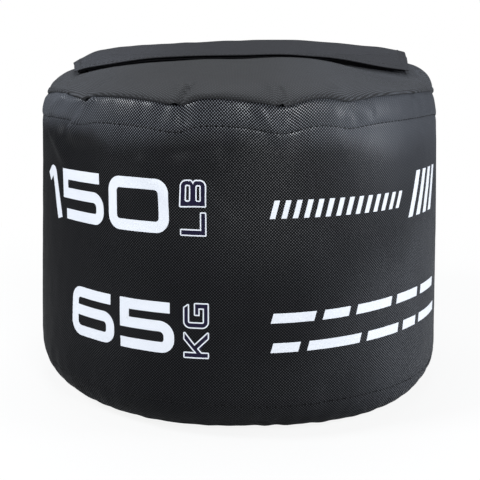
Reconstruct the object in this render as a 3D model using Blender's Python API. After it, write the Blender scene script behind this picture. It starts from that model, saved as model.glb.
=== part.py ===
"""Strongman sandbag trainer: a filled fabric drum with a flat base, a domed two-piece lid closed by a zip,
a long flap that covers the zip, and inside it the tied liner bag that holds the sand.

Metres, +Z up. The origin is the middle of the base, and the side of the flap's free edge is -Y."""

import math

import bmesh
import bpy
from mathutils import Matrix, Vector

for old in list(bpy.data.objects):
    bpy.data.objects.remove(old, do_unlink=True)

# Driving sizes of the filled bag
BODY_RADIUS = 0.2127
BASE_CORNER = 0.040
SEAM_HEIGHT = 0.295
WALL_TAPER = 0.0075
SHOULDER_CURL = 0.0044
CROWN_HEIGHT = 0.0335

# Cloth thicknesses, and the clearances kept between neighbours and over the curved lid
GAP = 0.0003
LID_GAP = 0.0006
SHELL_CLOTH = 0.0020
TAPE_CLOTH = 0.0012
LINER_CLOTH = 0.0010
FLAP_CLOTH = 0.0017

# Seams and bindings
BASE_REINFORCEMENT_INSET = 0.0107
BINDING_WIDTH = 0.012
WALL_BINDING_WIDTH = 0.024
RIM_END = 0.005

# Zip
SLOT_HALF_WIDTH = 0.009
ZIP_END_INSET = 0.044
ZIP_TAPE_WIDTH = 0.019
TOOTH_PITCH = 0.005
TOOTH_LENGTH = 0.0025
TOOTH_REACH = 0.0025
TOOTH_ROOT = 0.0012
TOOTH_HEIGHT = 0.003
ROW_SPACING = 0.0016
STOP_LENGTH = 0.003
END_TAB_LENGTH = 0.020
END_TAB_HALF_WIDTH = 0.020
END_TAB_LAP = 0.008

# Slider and puller
SLIDER_LENGTH = 0.016
SLIDER_HALF_WIDTH = 0.006
SLIDER_PLATE = 0.0012
SLIDER_WEB_LENGTH = 0.004
SLIDER_PARKING_GAP = 0.006
LUG_LENGTH = 0.0050
LUG_THICKNESS = 0.0012
PIN_RADIUS = 0.0009
EYE_WALL = 0.0010
EYE_HALF_WIDTH = 0.0020
PULLER_LENGTH = 0.026
PULLER_HALF_WIDTH = 0.0035
PULLER_THICKNESS = 0.0016
PULLER_NECK = 0.005
PULLER_CLEARANCE = 0.0012

# Flap over the zip
FLAP_END_INSET = 0.027
FLAP_FRONT_Y = -0.063
FLAP_HINGE_Y = 0.042
FLAP_RISE_MIDDLE = 0.0170
FLAP_RISE_END = 0.0125
HEM_WIDTH = 0.016
FASTENER_END_INSET = 0.015
FASTENER_EDGE_INSET = 0.007
FASTENER_WIDTH = 0.024

# Liner and filling
LINER_GAP = 0.0008
LINER_LID_CLEARANCE = 0.0070
NECK_RADIUS = 0.012
NECK_HEIGHT = 0.014
DIMPLE_RADIUS = 0.050
DIMPLE_DEPTH = 0.016
TIE_RADIUS = 0.0015

# Shares and powers of the drawn shapes
CURL_POWER = 8
PLATEAU_SHARE = 0.91
PLATEAU_BLEND_POWER = 24
ROUND_POWER = 1.6
FULL_POWER_GAIN = 4.8
FULL_POWER_FOCUS = 8
BASE_SEAM_ANGLE = math.radians(22)
SEAM_BINDING_HALF_ANGLE = math.radians(8)
SEAM_GAP_ANGLE = math.radians(0.45)
SMOOTH_ANGLE = math.radians(35)

# Fineness of the meshes
TURN_STEPS = 48
TIE_STEPS = 24
TIE_SIDES = 8
CORNER_STEPS = 5
WALL_STEPS = 8
INNER_STEPS = 3
LID_STEPS = 6
FLAP_STEPS = 14
FLAP_ROWS = 10
PIN_SIDES = 16

seam_radius = BODY_RADIUS - WALL_TAPER - SHOULDER_CURL
flat_radius = BODY_RADIUS - BASE_CORNER
facet_sag = BODY_RADIUS * (1 - math.cos(math.pi / TURN_STEPS))
flap_half_length = seam_radius - FLAP_END_INSET
slot_half_length = flap_half_length - ZIP_END_INSET


def finish(name, colour, roughness, metallic=0.0):
    """A Principled material of one colour."""
    material = bpy.data.materials.new(name)
    material.use_nodes = True
    shader = material.node_tree.nodes["Principled BSDF"]
    shader.inputs["Base Color"].default_value = (*colour, 1.0)
    shader.inputs["Roughness"].default_value = roughness
    shader.inputs["Metallic"].default_value = metallic
    return material


def shell_cloth():
    return finish("shell_cloth", (0.030, 0.031, 0.034), 0.62)


def flap_cloth():
    return finish("flap_cloth", (0.036, 0.037, 0.040), 0.62)


def binding_cloth():
    return finish("binding_cloth", (0.022, 0.022, 0.024), 0.80)


def fastener_cloth():
    return finish("fastener_cloth", (0.014, 0.014, 0.015), 0.92)


def zip_plastic():
    return finish("zip_plastic", (0.018, 0.018, 0.019), 0.45)


def zip_metal():
    return finish("zip_metal", (0.055, 0.056, 0.060), 0.35, 0.8)


def liner_cloth():
    return finish("liner_cloth", (0.30, 0.30, 0.29), 0.75)


def sand():
    return finish("sand", (0.55, 0.45, 0.31), 0.95)


def solid(name, mesh_data, material):
    """Turns a bmesh into the named object, closed and facing outwards."""
    bmesh.ops.recalc_face_normals(mesh_data, faces=mesh_data.faces)
    mesh = bpy.data.meshes.new(name)
    mesh_data.to_mesh(mesh)
    mesh_data.free()
    mesh.shade_smooth()
    mesh.set_sharp_from_angle(angle=SMOOTH_ANGLE)
    mesh.materials.append(material)
    piece = bpy.data.objects.new(name, mesh)
    bpy.context.scene.collection.objects.link(piece)
    return piece


def turned(name, outline, material, count=TURN_STEPS):
    """Spins an outline of (radius, height) points round Z. One whose ends are on the axis is a closed body."""
    shape = bmesh.new()
    points = [shape.verts.new((radius, 0, height)) for radius, height in outline]
    edges = [shape.edges.new(pair) for pair in zip(points, points[1:])]
    if outline[0][0] > 0:
        edges.append(shape.edges.new((points[-1], points[0])))
    bmesh.ops.spin(
        shape,
        geom=points + edges,
        cent=(0, 0, 0),
        axis=(0, 0, 1),
        angle=math.tau,
        steps=count,
        use_merge=True,
    )
    bmesh.ops.remove_doubles(shape, verts=shape.verts, dist=GAP / count)
    return solid(name, shape, material)


def sheet(name, upper, lower, columns, rows, material):
    """Closes the space between two surfaces, each a function of a column value and a row value."""
    shape = bmesh.new()
    grids = []
    for surface in (upper, lower):
        grids.append([[shape.verts.new(surface(column, row)) for column in columns] for row in rows])
    for grid in grids:
        for near, far in zip(grid, grid[1:]):
            for i in range(len(near) - 1):
                shape.faces.new((near[i], near[i + 1], far[i + 1], far[i]))
    rims = []
    for grid in grids:
        right = [line[-1] for line in grid[1:-1]]
        left = [line[0] for line in reversed(grid[1:-1])]
        rims.append(grid[0] + right + grid[-1][::-1] + left)
    over, under = rims
    for i in range(len(over)):
        shape.faces.new((over[i], over[i - 1], under[i - 1], under[i]))
    return solid(name, shape, material)


def block(name, low, high, material):
    """A box from its lowest to its highest corner."""
    shape = bmesh.new()
    size = Vector(high) - Vector(low)
    place = Matrix.Translation((Vector(high) + Vector(low)) / 2) @ Matrix.Diagonal((*size, 1.0))
    bmesh.ops.create_cube(shape, size=1.0, matrix=place)
    return solid(name, shape, material)


def plate(name, outline, bottom, thickness, material):
    """A flat piece with an outline of (x, y) points, from its bottom face up."""
    shape = bmesh.new()
    face = shape.faces.new([shape.verts.new((x, y, bottom)) for x, y in outline])
    made = bmesh.ops.extrude_face_region(shape, geom=[face])
    raised = [item for item in made["geom"] if isinstance(item, bmesh.types.BMVert)]
    bmesh.ops.translate(shape, verts=raised, vec=(0, 0, thickness))
    return solid(name, shape, material)


def rod(name, radius, half_length, centre, material):
    """A round rod along Y."""
    shape = bmesh.new()
    place = Matrix.Translation(centre) @ Matrix.Rotation(math.pi / 2, 4, "X")
    bmesh.ops.create_cone(
        shape,
        cap_ends=True,
        segments=PIN_SIDES,
        radius1=radius,
        radius2=radius,
        depth=2 * half_length,
        matrix=place,
    )
    return solid(name, shape, material)


def combine(piece, tool, operation):
    """Adds a tool to a piece, or cuts it out, and keeps the tool out of the part."""
    step = piece.modifiers.new(tool.name, "BOOLEAN")
    step.operation = operation
    step.solver = "EXACT"
    step.object = tool
    tool.hide_render = True
    tool.display_type = "WIRE"


def pivot(name, place):
    """An empty on a joint's axis."""
    empty = bpy.data.objects.new(name, None)
    empty.location = place
    bpy.context.scene.collection.objects.link(empty)
    return empty


def hang(pieces, empty):
    """Gives each piece the empty's origin, and the empty as its parent."""
    for piece in pieces:
        piece.data.transform(Matrix.Translation(-Vector(empty.location)))
        piece.parent = empty


def steps(start, end, count):
    """Evenly spaced values from start to end, both included."""
    return [start + (end - start) * i / count for i in range(count + 1)]


def wall_radius(height):
    """The drum's outer radius: it tapers evenly, then curls in towards the top seam."""
    share = (height - BASE_CORNER) / (SEAM_HEIGHT - BASE_CORNER)
    return BODY_RADIUS - WALL_TAPER * share - SHOULDER_CURL * share**CURL_POWER


def corner_point(angle, inset):
    """A point on the rounded base corner, at an angle from straight down, set in from the outer surface."""
    reach = BASE_CORNER - inset
    return (flat_radius + reach * math.sin(angle), BASE_CORNER - reach * math.cos(angle))


def corner_line(start, end, inset, count=CORNER_STEPS):
    return [corner_point(angle, inset) for angle in steps(start, end, count)]


def wall_line(bottom, top, inset, count=WALL_STEPS):
    """The wall's line, with its points closer together near the top, where the wall curls in."""
    heights = [bottom + (top - bottom) * math.sin(turn) for turn in steps(0, math.pi / 2, count)]
    return [(wall_radius(height) - inset, height) for height in heights]


def lid_height(x, y):
    """The lid's outer surface: full out to the rim along the zip's line, rounder to either side of it, and
    blended into a nearly level middle."""
    distance = math.hypot(x, y)
    along = (x / distance) ** 2 if distance > 0 else 1.0
    power = ROUND_POWER + FULL_POWER_GAIN * along**FULL_POWER_FOCUS
    reach = min(distance / seam_radius, 1.0)
    swell = math.sqrt(1 - reach**power)
    ratio = (swell / PLATEAU_SHARE) ** PLATEAU_BLEND_POWER
    return SEAM_HEIGHT + CROWN_HEIGHT * swell / (1 + ratio) ** (1 / PLATEAU_BLEND_POWER)


lid_top = lid_height(0, 0)
tape_corner = (slot_half_length + END_TAB_LAP, SLOT_HALF_WIDTH + ZIP_TAPE_WIDTH)
tape_top = lid_height(*tape_corner) - SHELL_CLOTH - GAP


def layer(name, half_length, front, rear, under, thickness, rows, material):
    """A cloth layer over the lid. under gives how far its lower face is above the lid at a place.
    All layers share their columns, so that their facets lie alike."""

    def lower(x, y):
        return (x, y, lid_height(x, y) + under(x, y))

    def upper(x, y):
        return (x, y, lid_height(x, y) + under(x, y) + thickness)

    spacing = flap_half_length / FLAP_STEPS
    inner = math.ceil(half_length / spacing) - 1
    across = [spacing * i for i in range(-inner, inner + 1)]
    return sheet(name, upper, lower, [-half_length, *across, half_length], steps(front, rear, rows), material)


# Base: a flat disc with its edge turned up into the rounded corner
def base_pieces():
    seam = BASE_SEAM_ANGLE - SEAM_GAP_ANGLE / 2
    outer = corner_line(0, seam, 0, 2)
    inner = corner_line(0, seam, SHELL_CLOTH, 2)
    turned("base_panel", [(0, 0)] + outer + inner[::-1] + [(0, SHELL_CLOTH)], shell_cloth())
    floor = SHELL_CLOTH + GAP
    rim = flat_radius - BASE_REINFORCEMENT_INSET
    disc = [(0, floor), (rim, floor), (rim, floor + TAPE_CLOTH), (0, floor + TAPE_CLOTH)]
    turned("base_reinforcement", disc, binding_cloth())
    near = SHELL_CLOTH + 2 * GAP
    first = BASE_SEAM_ANGLE - SEAM_BINDING_HALF_ANGLE
    last = BASE_SEAM_ANGLE + SEAM_BINDING_HALF_ANGLE
    lower = corner_line(first, last, near, 2)
    upper = corner_line(first, last, near + TAPE_CLOTH, 2)
    turned("base_seam_binding", lower + upper[::-1], binding_cloth())


# Wall: one cloth ring from the base seam round the corner and up to the top seam
def wall_pieces():
    top = SEAM_HEIGHT - GAP
    seam = BASE_SEAM_ANGLE + SEAM_GAP_ANGLE / 2
    right = math.pi / 2
    outer = corner_line(seam, right, 0) + wall_line(BASE_CORNER, top, 0)[1:]
    inner = corner_line(seam, right, SHELL_CLOTH) + wall_line(BASE_CORNER, top, SHELL_CLOTH)[1:]
    turned("wall_panel", outer + inner[::-1], shell_cloth())
    near = SHELL_CLOTH + GAP
    far = near + TAPE_CLOTH
    bottom = top - BINDING_WIDTH
    line = wall_line(bottom, top, near, 2)
    turned("top_seam_binding", line + wall_line(bottom, top, far, 2)[::-1], binding_cloth())

    def strip(inset):
        def surface(side, height):
            radius = wall_radius(height) - inset
            angle = math.pi / 2 + side / BODY_RADIUS
            return (radius * math.cos(angle), radius * math.sin(angle), height)

        return surface

    across = steps(-WALL_BINDING_WIDTH / 2, WALL_BINDING_WIDTH / 2, 2)
    up = steps(BASE_CORNER, bottom - GAP, WALL_STEPS)
    sheet("wall_seam_binding", strip(near + facet_sag), strip(far + facet_sag), across, up, binding_cloth())


# Lid: a front and a rear panel that meet on the zip's line, with a slot where the zip lies
def lid_panel(name, side):
    bend = slot_half_length + SLOT_HALF_WIDTH / 4
    last = math.acos(bend / seam_radius)
    first = math.asin(RIM_END / seam_radius)
    outside = [seam_radius * math.cos(angle) for angle in steps(last, first, LID_STEPS)]
    middle = steps(-slot_half_length, slot_half_length, 2 * LID_STEPS)
    columns = [-x for x in reversed(outside)] + middle + outside
    narrower = 1 - SHELL_CLOTH / seam_radius
    lower_share = 1 - SHELL_CLOTH / (lid_top - SEAM_HEIGHT)

    def upper(x, row):
        start = SLOT_HALF_WIDTH if abs(x) <= slot_half_length else GAP / 2
        end = math.sqrt(seam_radius**2 - x**2)
        y = side * (start + (end - start) * math.sin(row))
        return (x, y, lid_height(x, y) if row < math.pi / 2 else SEAM_HEIGHT)

    def lower(x, row):
        x, y, z = upper(x, row)
        return (x * narrower, y * narrower, SEAM_HEIGHT + (z - SEAM_HEIGHT) * lower_share)

    return sheet(name, upper, lower, columns, steps(0, math.pi / 2, LID_STEPS + 2), shell_cloth())


# Zip: two tapes under the slot's edges, a row of teeth on each, and the stops and end tabs
def zip_pieces():
    tape_bottom = tape_top - TAPE_CLOTH
    level = (tape_top + tape_bottom) / 2
    inner = ROW_SPACING / 2
    root = inner + TOOTH_REACH
    outer = root + TOOTH_ROOT
    edge = outer + GAP
    count = int(2 * (slot_half_length - STOP_LENGTH - GAP) / TOOTH_PITCH)
    places = [TOOTH_PITCH * (i - (count - 1) / 2) for i in range(count)]
    half_height = TOOTH_HEIGHT / 2
    for word, side in (("front", -1), ("rear", 1)):
        reach = sorted((side * edge, side * (edge + ZIP_TAPE_WIDTH)))
        end = slot_half_length + END_TAB_LAP
        low, high = (-end, reach[0], tape_bottom), (end, reach[1], tape_top)
        block(f"zip_tape_{word}", low, high, binding_cloth())
        outline = []
        for x in places:
            for end, reach in ((-1, root), (-1, inner), (1, inner), (1, root)):
                outline.append((x + end * TOOTH_LENGTH / 2, side * reach))
        outline += [(outline[-1][0], side * outer), (outline[0][0], side * outer)]
        plate(f"zip_teeth_{word}", outline, level - half_height, TOOTH_HEIGHT, zip_plastic())
    last = places[-1] + TOOTH_LENGTH / 2 + GAP
    for word, side in (("open", -1), ("closed", 1)):
        span = sorted((side * last, side * (last + STOP_LENGTH)))
        low = (span[0], -outer, level - half_height)
        high = (span[1], outer, level + half_height)
        block(f"zip_stop_{word}_end", low, high, zip_metal())
    return level


def end_tab(name, side):
    """A cloth tab sewn across one end of the zip."""
    near = slot_half_length - END_TAB_LAP
    span = sorted((side * near, side * (near + END_TAB_LENGTH)))

    def surface(above):
        return lambda x, y: (x, y, lid_height(x, y) + above)

    rows = steps(-END_TAB_HALF_WIDTH, END_TAB_HALF_WIDTH, 4)
    across = steps(span[0], span[1], 3)
    sheet(name, surface(LID_GAP + TAPE_CLOTH), surface(LID_GAP), across, rows, binding_cloth())


# Slider: two plates joined by a thin web between the rows of teeth, and two lugs with the puller's pin
def slider_pieces(level):
    middle = slot_half_length - END_TAB_LAP - SLIDER_PARKING_GAP - SLIDER_LENGTH / 2
    half = SLIDER_LENGTH / 2
    wide = SLIDER_HALF_WIDTH
    near = TOOTH_HEIGHT / 2 + GAP
    far = near + SLIDER_PLATE
    eye_bore = PIN_RADIUS + GAP
    eye_radius = eye_bore + EYE_WALL
    pin_height = level + far + PULLER_CLEARANCE + eye_radius
    lug_inner = EYE_HALF_WIDTH + GAP
    lug_outer = lug_inner + LUG_THICKNESS
    metal = zip_metal()

    start, end = middle - half, middle + half
    slider = block("zip_slider", (start, -wide, level + near), (end, wide, level + far), metal)
    lower = ((start, -wide, level - far), (end, wide, level - near))
    web_half = ROW_SPACING / 2 - GAP
    web_inner = level - near - SLIDER_PLATE / 2
    web_outer = level + near + SLIDER_PLATE / 2
    web = ((end - SLIDER_WEB_LENGTH, -web_half, web_inner), (end, web_half, web_outer))
    tools = [block("slider_lower_plate", *lower, metal), block("slider_web", *web, metal)]
    for word, side in (("front", -1), ("rear", 1)):
        reach = sorted((side * lug_inner, side * lug_outer))
        low = (middle - LUG_LENGTH / 2, reach[0], level + near + SLIDER_PLATE / 2)
        high = (middle + LUG_LENGTH / 2, reach[1], pin_height + eye_bore)
        tools.append(block(f"slider_lug_{word}", low, high, metal))
    pin_reach = lug_inner + LUG_THICKNESS / 2
    tools.append(rod("slider_pin", PIN_RADIUS, pin_reach, (middle, 0, pin_height), metal))
    for tool in tools:
        combine(slider, tool, "UNION")

    thick = PULLER_THICKNESS / 2
    puller = rod("zip_puller", eye_radius, EYE_HALF_WIDTH, (middle, 0, pin_height), metal)
    neck_end = middle - PULLER_NECK
    neck = ((neck_end, -EYE_HALF_WIDTH, pin_height - thick), (middle, EYE_HALF_WIDTH, pin_height + thick))
    wide = PULLER_HALF_WIDTH
    tip = middle - PULLER_LENGTH
    grip = ((tip, -wide, pin_height - thick), (neck_end + EYE_WALL, wide, pin_height + thick))
    arms = [block("puller_neck", *neck, metal), block("puller_grip", *grip, metal)]
    for arm in arms:
        combine(puller, arm, "UNION")
    bore = rod("puller_bore", eye_bore, EYE_HALF_WIDTH + EYE_WALL, (middle, 0, pin_height), metal)
    combine(puller, bore, "DIFFERENCE")

    slide = pivot("slider_place", (middle, 0, level))
    hang([slider] + tools, slide)
    swing = pivot("puller_pin", (middle, 0, pin_height))
    hang([puller, bore] + arms, swing)


# Flap: sewn down behind the zip, arched over it, and held in front by hook and loop
hook_under = LID_GAP + TAPE_CLOTH + GAP
fastener_stack = hook_under + TAPE_CLOTH + GAP
fastener_front = FLAP_FRONT_Y + FASTENER_EDGE_INSET
fastener_rear = fastener_front + FASTENER_WIDTH
arch_start = fastener_rear + FASTENER_EDGE_INSET / 3


def flap_lift(x, y):
    """The clear height under the flap: the fastener's thickness in front, then an arch down to the sewn edge."""
    share = min(max((y - arch_start) / (FLAP_HINGE_Y - arch_start), 0), 1)
    ease = share * share * (3 - 2 * share)
    rise = FLAP_RISE_MIDDLE + (FLAP_RISE_END - FLAP_RISE_MIDDLE) * (x / flap_half_length) ** 2
    return fastener_stack + (LID_GAP - fastener_stack) * ease + rise * math.sin(math.pi * share) ** 2


def flap_pieces():
    half = flap_half_length
    tape_half = half - FASTENER_END_INSET
    front, rear = fastener_front, fastener_rear
    felt = fastener_cloth()
    layer("front_loop_tape", tape_half, front, rear, lambda x, y: LID_GAP, TAPE_CLOTH, 2, felt)
    hook = layer("flap_hook_tape", tape_half, front, rear, lambda x, y: hook_under, TAPE_CLOTH, 2, felt)
    rows = FLAP_ROWS
    lining = layer("flap_lining", half, FLAP_FRONT_Y, FLAP_HINGE_Y, flap_lift, TAPE_CLOTH, rows, binding_cloth())

    def above_lining(x, y):
        return flap_lift(x, y) + TAPE_CLOTH + GAP

    cloth = flap_cloth()
    flap = layer("closure_flap", half, FLAP_FRONT_Y, FLAP_HINGE_Y, above_lining, FLAP_CLOTH, rows, cloth)
    hem_front = FLAP_HINGE_Y + GAP
    hem_thickness = TAPE_CLOTH + GAP + FLAP_CLOTH
    layer("flap_hem", half, hem_front, hem_front + HEM_WIDTH, lambda x, y: LID_GAP, hem_thickness, 2, cloth)
    hinge = pivot("flap_hinge", (0, FLAP_HINGE_Y, lid_top + LID_GAP + hem_thickness))
    hang([flap, lining, hook], hinge)


# Liner bag with a tied neck in a dimple, and the sand in it
def liner_line(down, neck_top):
    """Half of a filling's outline, from the middle of its base to the top of its neck, set in by down."""
    inset = SHELL_CLOTH + TAPE_CLOTH + 2 * LINER_GAP + down
    level = lid_top - LINER_LID_CLEARANCE - down
    rim = SEAM_HEIGHT - inset
    width = wall_radius(rim) - inset
    height = lid_top - SEAM_HEIGHT
    last = math.asin((level - rim) / height)
    outline = corner_line(0, math.pi / 2, inset, INNER_STEPS)
    outline += wall_line(BASE_CORNER, rim, inset, INNER_STEPS)[1:]
    for angle in steps(0, last, INNER_STEPS)[1:]:
        outline.append((width * math.cos(angle), rim + height * math.sin(angle)))
    neck = NECK_RADIUS - down
    floor = level - DIMPLE_DEPTH
    outline += [(DIMPLE_RADIUS, level), (2 * NECK_RADIUS, floor), (neck, floor), (neck, neck_top)]
    return outline


def filling_pieces():
    floor = lid_top - LINER_LID_CLEARANCE - DIMPLE_DEPTH
    neck_top = floor + NECK_HEIGHT
    outer = liner_line(0, neck_top)
    inner = liner_line(LINER_CLOTH, neck_top)
    outline = [(0, outer[0][1])] + outer + inner[::-1] + [(0, inner[0][1])]
    turned("liner_bag", outline, liner_cloth())
    sand_top = neck_top - NECK_HEIGHT / 2
    fill = liner_line(LINER_CLOTH + GAP, sand_top)
    turned("sand_fill", [(0, fill[0][1])] + fill + [(0, sand_top)], sand())
    tie_middle = NECK_RADIUS + GAP + TIE_RADIUS
    tie_height = floor + NECK_HEIGHT / 2
    ring = []
    for angle in steps(0, math.tau, TIE_SIDES)[:-1]:
        ring.append((tie_middle + TIE_RADIUS * math.cos(angle), tie_height + TIE_RADIUS * math.sin(angle)))
    turned("liner_neck_tie", ring, binding_cloth(), TIE_STEPS)


base_pieces()
wall_pieces()
lid_panel("top_front_panel", -1)
lid_panel("top_rear_panel", 1)
teeth_level = zip_pieces()
end_tab("zip_end_tab_left", -1)
end_tab("zip_end_tab_right", 1)
slider_pieces(teeth_level)
flap_pieces()
filling_pieces()
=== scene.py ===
# %% [markdown]
# # A sand-filled training bag
#
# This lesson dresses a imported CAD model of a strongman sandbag. The bag is a drum of heavy woven nylon with a flat
# base, a domed lid in two halves, and a long cloth flap over the zip. Everything that shows here is cloth, so nearly
# every piece is a thin closed shell whose outer face is a surface worked out with numpy. The frame from the CAD
# stays where it is, and each piece of this lesson moves with one of its bodies.

# %% Load the frame
import math
from math import pi, tau

import bmesh
import bpy
import numpy as np
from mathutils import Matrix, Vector


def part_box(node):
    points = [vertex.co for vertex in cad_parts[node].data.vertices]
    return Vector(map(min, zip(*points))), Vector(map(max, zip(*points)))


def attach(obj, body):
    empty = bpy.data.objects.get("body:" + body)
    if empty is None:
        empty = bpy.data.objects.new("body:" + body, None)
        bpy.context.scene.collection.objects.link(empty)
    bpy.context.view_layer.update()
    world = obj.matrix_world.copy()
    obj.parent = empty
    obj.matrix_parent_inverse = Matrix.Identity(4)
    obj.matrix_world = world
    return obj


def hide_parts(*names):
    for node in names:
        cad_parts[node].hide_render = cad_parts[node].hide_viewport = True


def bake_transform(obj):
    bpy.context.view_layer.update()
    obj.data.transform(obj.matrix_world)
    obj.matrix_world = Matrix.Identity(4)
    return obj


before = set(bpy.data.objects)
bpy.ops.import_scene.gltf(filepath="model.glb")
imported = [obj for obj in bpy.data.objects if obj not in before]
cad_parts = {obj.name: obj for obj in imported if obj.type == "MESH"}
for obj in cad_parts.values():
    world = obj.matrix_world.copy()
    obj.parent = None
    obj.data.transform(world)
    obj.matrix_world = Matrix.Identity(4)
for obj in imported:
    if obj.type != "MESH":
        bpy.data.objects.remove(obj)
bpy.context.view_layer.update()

# %% [markdown]
# ## Sizes
#
# The large sizes are read from the frame's boxes, so that a changed CAD model changes the cloth with it. The few
# sizes that a box can't give, such as the radius of the rounded base corner, are repeated here from the CAD source.

# %% Sizes from the frame and of the sewn shape
flap_low, flap_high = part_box("closure_flap")
hem_low, hem_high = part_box("flap_hem")
body_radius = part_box("wall_panel")[1].x
seam_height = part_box("top_front_panel")[0].z
flap_half = flap_high.x

# The drum: its base corner, where the base seam lies on it, and how the wall tapers and curls in.
BASE_CORNER = 0.04
BASE_SEAM_ANGLE = math.radians(22)
WALL_TAPER = 0.0075
SHOULDER_CURL = 0.0044
SHOULDER_POWER = 8
# The lid: how high its crown is over the seam, and how level its middle.
CROWN_HEIGHT = 0.0335
PLATEAU_SHARE = 0.91
PLATEAU_POWER = 24
# Thicknesses of cloth, and the gaps between its layers.
CLOTH = 0.0016
LINING = 0.0012
GAP = 0.0003
LID_GAP = 0.0006
# An angle round the drum times this radius is a length on the unrolled cloth.
MAP_RADIUS = 0.21

seam_radius = body_radius - WALL_TAPER - SHOULDER_CURL
flat_radius = body_radius - BASE_CORNER
corner_length = BASE_CORNER * (pi / 2 - BASE_SEAM_ANGLE)
wall_length = corner_length + seam_height - BASE_CORNER
print(f"drum {2 * body_radius:.4f} m across, top seam at {seam_height:.4f} m")

# %% [markdown]
# ## Curves, normals and waves
#
# Cloth has no sharp changes, so its forms are built from an even S, a bell and ridges along a line. Unevenness is a sum
# of waves from a seeded generator, which looks accidental and is the same each time. Rows of a grid lie wide apart on
# plain cloth and close where it bends, so their places come from a density.

# %% Curves, normals and waves
def smooth(value, low, high):
    """0 up to low, 1 from high on, and an even S between them."""
    share = np.clip((value - low) / (high - low), 0, 1)
    return share * share * (3 - 2 * share)


def bell(value, middle, width):
    """1 in the middle, and less on both sides: e to the power of minus the squared number of widths away."""
    return np.exp(-(((value - middle) / width) ** 2))


def spaced(length, count, usual, *fine):
    """Row places from 0 to length. Rows are usual apart, and closer round each (place, spacing, reach) in fine."""
    probe = np.linspace(0, length, 4001)
    density = np.full_like(probe, 1 / usual)
    for place, spacing, reach in fine:
        density += (1 / spacing - 1 / usual) * bell(probe, place, reach)
    total = np.concatenate([[0], np.cumsum((density[1:] + density[:-1]) / 2)])
    return np.interp(np.linspace(0, total[-1], count), total, probe)


def unit(vector):
    """Vectors divided by their own lengths."""
    return vector / np.linalg.norm(vector, axis=-1, keepdims=True)


def pairs(first, second):
    """Places of two numbers each, such as those on the unrolled cloth."""
    return np.stack(np.broadcast_arrays(first, second), -1)


def turns_round(count):
    """A row of even turns all the way round."""
    return np.linspace(-pi, pi, count, endpoint=False)[None, :]


def round_axis(turn, radius, height):
    """Points at a turn from the front, a radius from the axis and a height."""
    return np.stack([radius * np.sin(turn), -radius * np.cos(turn), height], -1)


def normal_on(surface, first, second, step=2e-4):
    """The unit normal of a surface of two parameters, from two short steps across it."""
    across = surface(first + step, second) - surface(first - step, second)
    up = surface(first, second + step) - surface(first, second - step)
    return unit(np.cross(across, up))


def normals_of(points):
    """The unit normal at each point of a grid, from the steps to its neighbours."""
    return unit(np.cross(np.gradient(points, axis=1), np.gradient(points, axis=0)))


def upward_normals(points):
    """The same, all turned to point up."""
    normal = normals_of(points)
    return normal * np.sign(normal[..., 2:3])


def waves(first, second, seed, count, shortest, longest):
    """Soft unevenness of about 1: a sum of seeded waves that run in all directions across two coordinates."""
    random = np.random.default_rng(seed)
    total = np.zeros(np.broadcast(first, second).shape)
    for _ in range(count):
        way, phase = random.uniform(0, tau, 2)
        step = tau / random.uniform(shortest, longest)
        total += np.cos(step * (math.cos(way) * first + math.sin(way) * second) + phase)
    return total / math.sqrt(count)


def drum_waves(turn, height, seed, count, most_around, longest):
    """Soft unevenness of about 1 that meets itself after a whole turn."""
    random = np.random.default_rng(seed)
    total = np.zeros(np.broadcast(turn, height).shape)
    for _ in range(count):
        around = random.integers(2, most_around)
        upright = random.uniform(-1, 1) * tau / longest
        total += np.cos(around * turn + upright * height + random.uniform(0, tau))
    return total / math.sqrt(count)


def folds_lift(first, second, folds):
    """The sum of ridges and hollows, each along a line from a, b to c, d and with a bell as its cross-section."""
    total = np.zeros(np.broadcast(first, second).shape)
    for a, b, c, d, width, height in folds:
        along, across = c - a, d - b
        share = ((first - a) * along + (second - b) * across) / (along**2 + across**2)
        share = np.clip(share, 0, 1)
        away = (first - a - share * along) ** 2 + (second - b - share * across) ** 2
        total += height * np.exp(-away / width**2)
    return total


print("rows that crowd at one end:", spaced(1.0, 6, 0.3, (1.0, 0.05, 0.3)).round(2))

# %% [markdown]
# ## Grids and shells
#
# A piece of cloth has two faces and an edge. `shell_arrays` takes an outer and an inner grid of points and closes the
# rim between them, so that the result is one solid that can be printed or exported. Each corner of a face also gets
# its place on the unrolled cloth in metres, in a UV map. The weave is drawn on that map, so it follows every fold.

# %% Faces between grids
def grid_faces(rows, columns, first=0, closed=False):
    """The four corners of each face of a grid numbered row by row, and which corners lie past a closed grid's end."""
    row, column = np.meshgrid(np.arange(rows - 1), np.arange(columns - (not closed)), indexing="ij")
    near = first + row * columns + column
    beside = first + row * columns + (column + 1) % columns
    past = np.zeros((*near.shape, 4), bool)
    past[:, :, 1:3] = (column + 1 == columns)[:, :, None]
    faces = np.stack([near, beside, beside + columns, near + columns], -1)
    return faces.reshape(-1, 4), past.reshape(-1, 4)


def rim_faces(outer, inner, closed):
    """Joins two lines of point numbers that run side by side."""
    last = len(outer) - (not closed)
    i = np.arange(last)
    j = (i + 1) % len(outer)
    faces = np.stack([outer[j], outer[i], inner[i], inner[j]], -1)
    past = np.zeros(faces.shape, bool)
    past[:, [0, 3]] = (j < i)[:, None]
    return faces, past


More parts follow.
